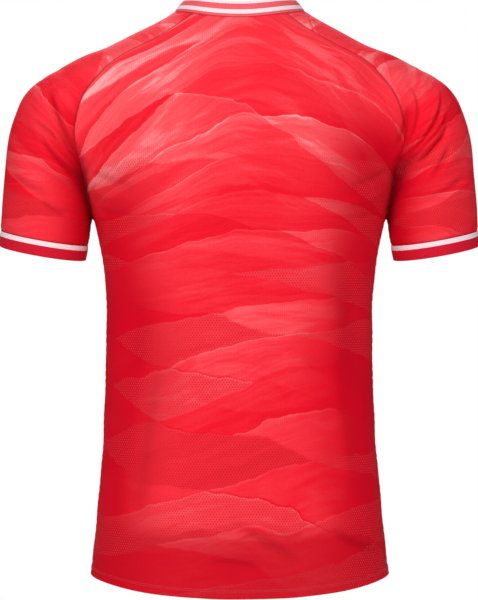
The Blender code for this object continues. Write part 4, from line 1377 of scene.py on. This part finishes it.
angles = np.arange(COLLAR_CELLS) * 360 / COLLAR_CELLS
turn = np.radians(angles)
lean = np.where(np.cos(turn) > 0, COLLAR_LEAN["back"], COLLAR_LEAN["front"])
rise = unit(np.stack([-COLLAR_LEAN["side"] * np.sin(turn), -lean * np.cos(turn), 1 + 0 * turn], -1))
seam = neck_ring(angles)
seam = seam + rise * SEAM_GAP / 2
height = BAND_ROWS * COLLAR_HEIGHT / BAND_HEIGHT + 0 * turn
surface = seam + rise * height[..., None]
own = unit(np.cross(rise, np.roll(seam, -1, 0) - np.roll(seam, 1, 0)))
own *= np.sign((own * (seam - seam.mean(0)) * (1, 1, 0)).sum(-1, keepdims=True))
share = np.clip(height / COLLAR_TURN, 0, 1)[..., None]
normals = unit(outward(seam) * (1 - share) + own * share)
collar = band("collar_rib", surface - normals * RIB_WALL / 2, normals, height, "collar", COLLAR_RIB)

# %% The cuffs
across = np.arange(CUFF_CELLS) / CUFF_CELLS
height = BAND_ROWS + 0 * across
rings = np.stack([arm_ring(CUFF_SEAM + SEAM_GAP / 2 + down, across) for down in BAND_ROWS[:, 0]])
surface = onto_form(rings)
out = outward(surface)
for side, mirror in (("left", 1), ("right", -1)):
    middle, normals = (surface - out * RIB_WALL / 2) * (mirror, 1, 1), out * (mirror, 1, 1)
    cuff = band("cuff_" + side + "_rib", middle, normals, height, "cuff_" + side, CUFF_RIB)

# %% [markdown]
# ## Stitches along the hem
#
# The hem is turned up and held by two rows of stitches. Each stitch is a small lozenge of thread, half
# sunk in the cloth. A curve with an array modifier could repeat one, but here all of them are placed at
# once, from the hem's own rows of points, and each has only a few faces.

# %% Thread and stitches
STITCH_PITCH = 0.0034
STITCH_LENGTH = 0.0027
STITCH_WIDTH = 0.00075
STITCH_RINGS = ((-0.5, 0.45), (-0.3, 1.0), (0.3, 1.0), (0.5, 0.45))  # place along it, and size
STITCH_SIDES = 6
STITCH_FLATNESS = 0.6
STITCH_AHEAD = 0.0003  # how far on the line is looked at for its direction
THREAD_TWIST = 0.000667

THREAD, tree, shader = new_material("spun_polyester_thread", roughness=0.5)
place = add(tree, "TexCoord", (), out="Object")
twist = add(tree, "TexNoise", {"Vector": place, "Scale": 1 / THREAD_TWIST}, out="Fac")
colour = add(tree, "Mix", {0: twist, MIX_A: "#B40A20", MIX_B: "#D42238"}, **COLOUR_MIX)
tree.links.new(colour, shader["Base Color"])


def stitches(line, normals):
    """Middle + place x tangent + size x (cos t sideways + flatness x sin t outwards), at even steps."""
    travel = np.concatenate([[0], np.cumsum(np.linalg.norm(np.diff(line, axis=0), axis=-1))])
    at = (np.arange(int(travel[-1] / STITCH_PITCH)) + 0.5) * STITCH_PITCH
    middle, ahead, out = (
        np.stack([np.interp(where, travel, values) for values in points.T], -1)
        for where, points in ((at, line), (at + STITCH_AHEAD, line), (at, normals))
    )
    tangent, out = unit(ahead - middle), unit(out)
    beside = np.cross(tangent, out)
    place, size = np.array(STITCH_RINGS).T[:, None, :, None, None]
    turn = (np.arange(STITCH_SIDES) * 2 * np.pi / STITCH_SIDES)[None, None, :, None]
    sideways, upwards = np.cos(turn), STITCH_FLATNESS * np.sin(turn)
    round_it = sideways * beside[:, None, None] + upwards * out[:, None, None]
    corners = middle[:, None, None] + place * STITCH_LENGTH * tangent[:, None, None]
    corners = corners + size * STITCH_WIDTH / 2 * round_it
    index = np.arange(len(STITCH_RINGS) * STITCH_SIDES).reshape(len(STITCH_RINGS), STITCH_SIDES)
    after = np.roll(index, -1, 1)
    walls = np.stack([index[:-1], after[:-1], after[1:], index[1:]], -1).reshape(-1, 4)
    # two squares close each end
    ends = np.concatenate([index[0, [[3, 2, 1, 0], [5, 4, 3, 0]]], index[-1, [[0, 1, 2, 3], [0, 3, 4, 5]]]])
    one = np.concatenate([walls[:, ::-1], ends[:, ::-1]])
    faces = one + (np.arange(len(at)) * index.size)[:, None, None]
    return corners.reshape(-1, 3), faces.reshape(-1, 4)


for name, lines in hem_lines.items():
    rows = [stitches(*line) for line in lines]
    starts = np.cumsum([0] + [len(corners) for corners, _ in rows[:-1]])
    faces = np.concatenate([faces + start for (_, faces), start in zip(rows, starts)])
    corners = np.concatenate([corners for corners, _ in rows])
    piece = new_piece("hem_stitches_" + name.removesuffix("_panel"), corners, faces, THREAD)
    print(f"{piece.name}: {len(corners) // (len(STITCH_RINGS) * STITCH_SIDES)} stitches")

# %% [markdown]
# ## The cut of each piece
#
# Cloth hardly stretches, so the loops above print how large the body pieces and the sleeve were cut:
# the width and length of the flat piece, and its area, because none of them is a rectangle.

# %% [markdown]
# ## The studio
#
# A plain white studio: one large soft light behind the jersey and one before it, both from above, and
# a weak light from all round. The jersey hangs above a pale floor.

# %% Floor, lights and camera
FLOOR_Z = -1.00
FLOOR_RADIUS = 2.0
FLOOR_SIDES = 64
FLOOR_GLOW = 0.25
LIGHT_REACH = 2.6
LIGHT_Z = 1.6
LIGHT_AIM_Z = -0.34
LIGHT_ASIDE = 0.25  # both stand a little to the wearer's left
LIGHT_SIZE = 1.5
LIGHT_POWER = {"softbox_back": 75.0, "softbox_front": 60.0}
AMBIENT = 0.22
BACKDROP = 1.0

turn = np.arange(FLOOR_SIDES) * 2 * np.pi / FLOOR_SIDES
rim = np.stack([FLOOR_RADIUS * np.cos(turn), FLOOR_RADIUS * np.sin(turn), FLOOR_Z + 0 * turn], -1)
floor_paint, _, shader = new_material("white_painted_floor", roughness=0.9)
shader["Base Color"].default_value = to_linear("#F4F4F4")
shader["Emission Color"].default_value = to_linear("#FFFFFF")
shader["Emission Strength"].default_value = FLOOR_GLOW
floor_mesh = bpy.data.meshes.new("floor")
floor_mesh.from_pydata(rim.tolist(), [], [list(range(FLOOR_SIDES))])
floor_mesh.materials.append(floor_paint)
floor = bpy.data.objects.new("floor", floor_mesh)
bpy.context.scene.collection.objects.link(floor)
floor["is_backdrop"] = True

world = bpy.data.worlds.new("white_studio")
world.use_nodes = True
bpy.context.scene.world = world
seen = add(world.node_tree, "LightPath", (), out="Is Camera Ray")
strength = add(world.node_tree, "MapRange", {"Value": seen, "To Min": AMBIENT, "To Max": BACKDROP})
background = world.node_tree.nodes["Background"].inputs
background["Color"].default_value = to_linear("#FFFFFF")
world.node_tree.links.new(strength, background["Strength"])

for name, facing in (("softbox_back", 1), ("softbox_front", -1)):
    light = bpy.data.lights.new(name, "AREA")
    light.shape = "DISK"
    light.size = LIGHT_SIZE
    light.energy = LIGHT_POWER[name]
    lamp = bpy.data.objects.new(name, light)
    lamp.location = (LIGHT_ASIDE, facing * LIGHT_REACH, LIGHT_Z)
    tilt = np.arctan2(np.hypot(LIGHT_REACH, LIGHT_ASIDE), LIGHT_Z - LIGHT_AIM_Z)
    lamp.rotation_euler = (tilt, 0.0, np.arctan2(LIGHT_ASIDE, -facing * LIGHT_REACH))
    lamp.visible_camera = False
    bpy.context.scene.collection.objects.link(lamp)
    print(name, light.energy, "watts")

# %% The camera
CAMERA_X = 0.0006
CAMERA_DISTANCE = 3.1
CAMERA_Z = -0.362
VIEW_HEIGHT = 0.756  # what the frame's height takes in at the jersey
SENSOR = 36.0

camera_data = bpy.data.cameras.new("camera")
camera_data.sensor_width = SENSOR
camera_data.lens = SENSOR * CAMERA_DISTANCE / VIEW_HEIGHT
camera = bpy.data.objects.new("camera", camera_data)
camera.location = (CAMERA_X, CAMERA_DISTANCE, CAMERA_Z)
camera.rotation_euler = (np.pi / 2, 0.0, np.pi)
bpy.context.scene.collection.objects.link(camera)
bpy.context.scene.camera = camera
bpy.context.scene.view_settings.view_transform = "Standard"
print("lens", round(camera_data.lens, 1), "mm")

# %% Sizes, and the end
boxes = {"cad": cad_box, "visual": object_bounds()}
{name: [list(corner) for corner in box] for name, box in boxes.items()}
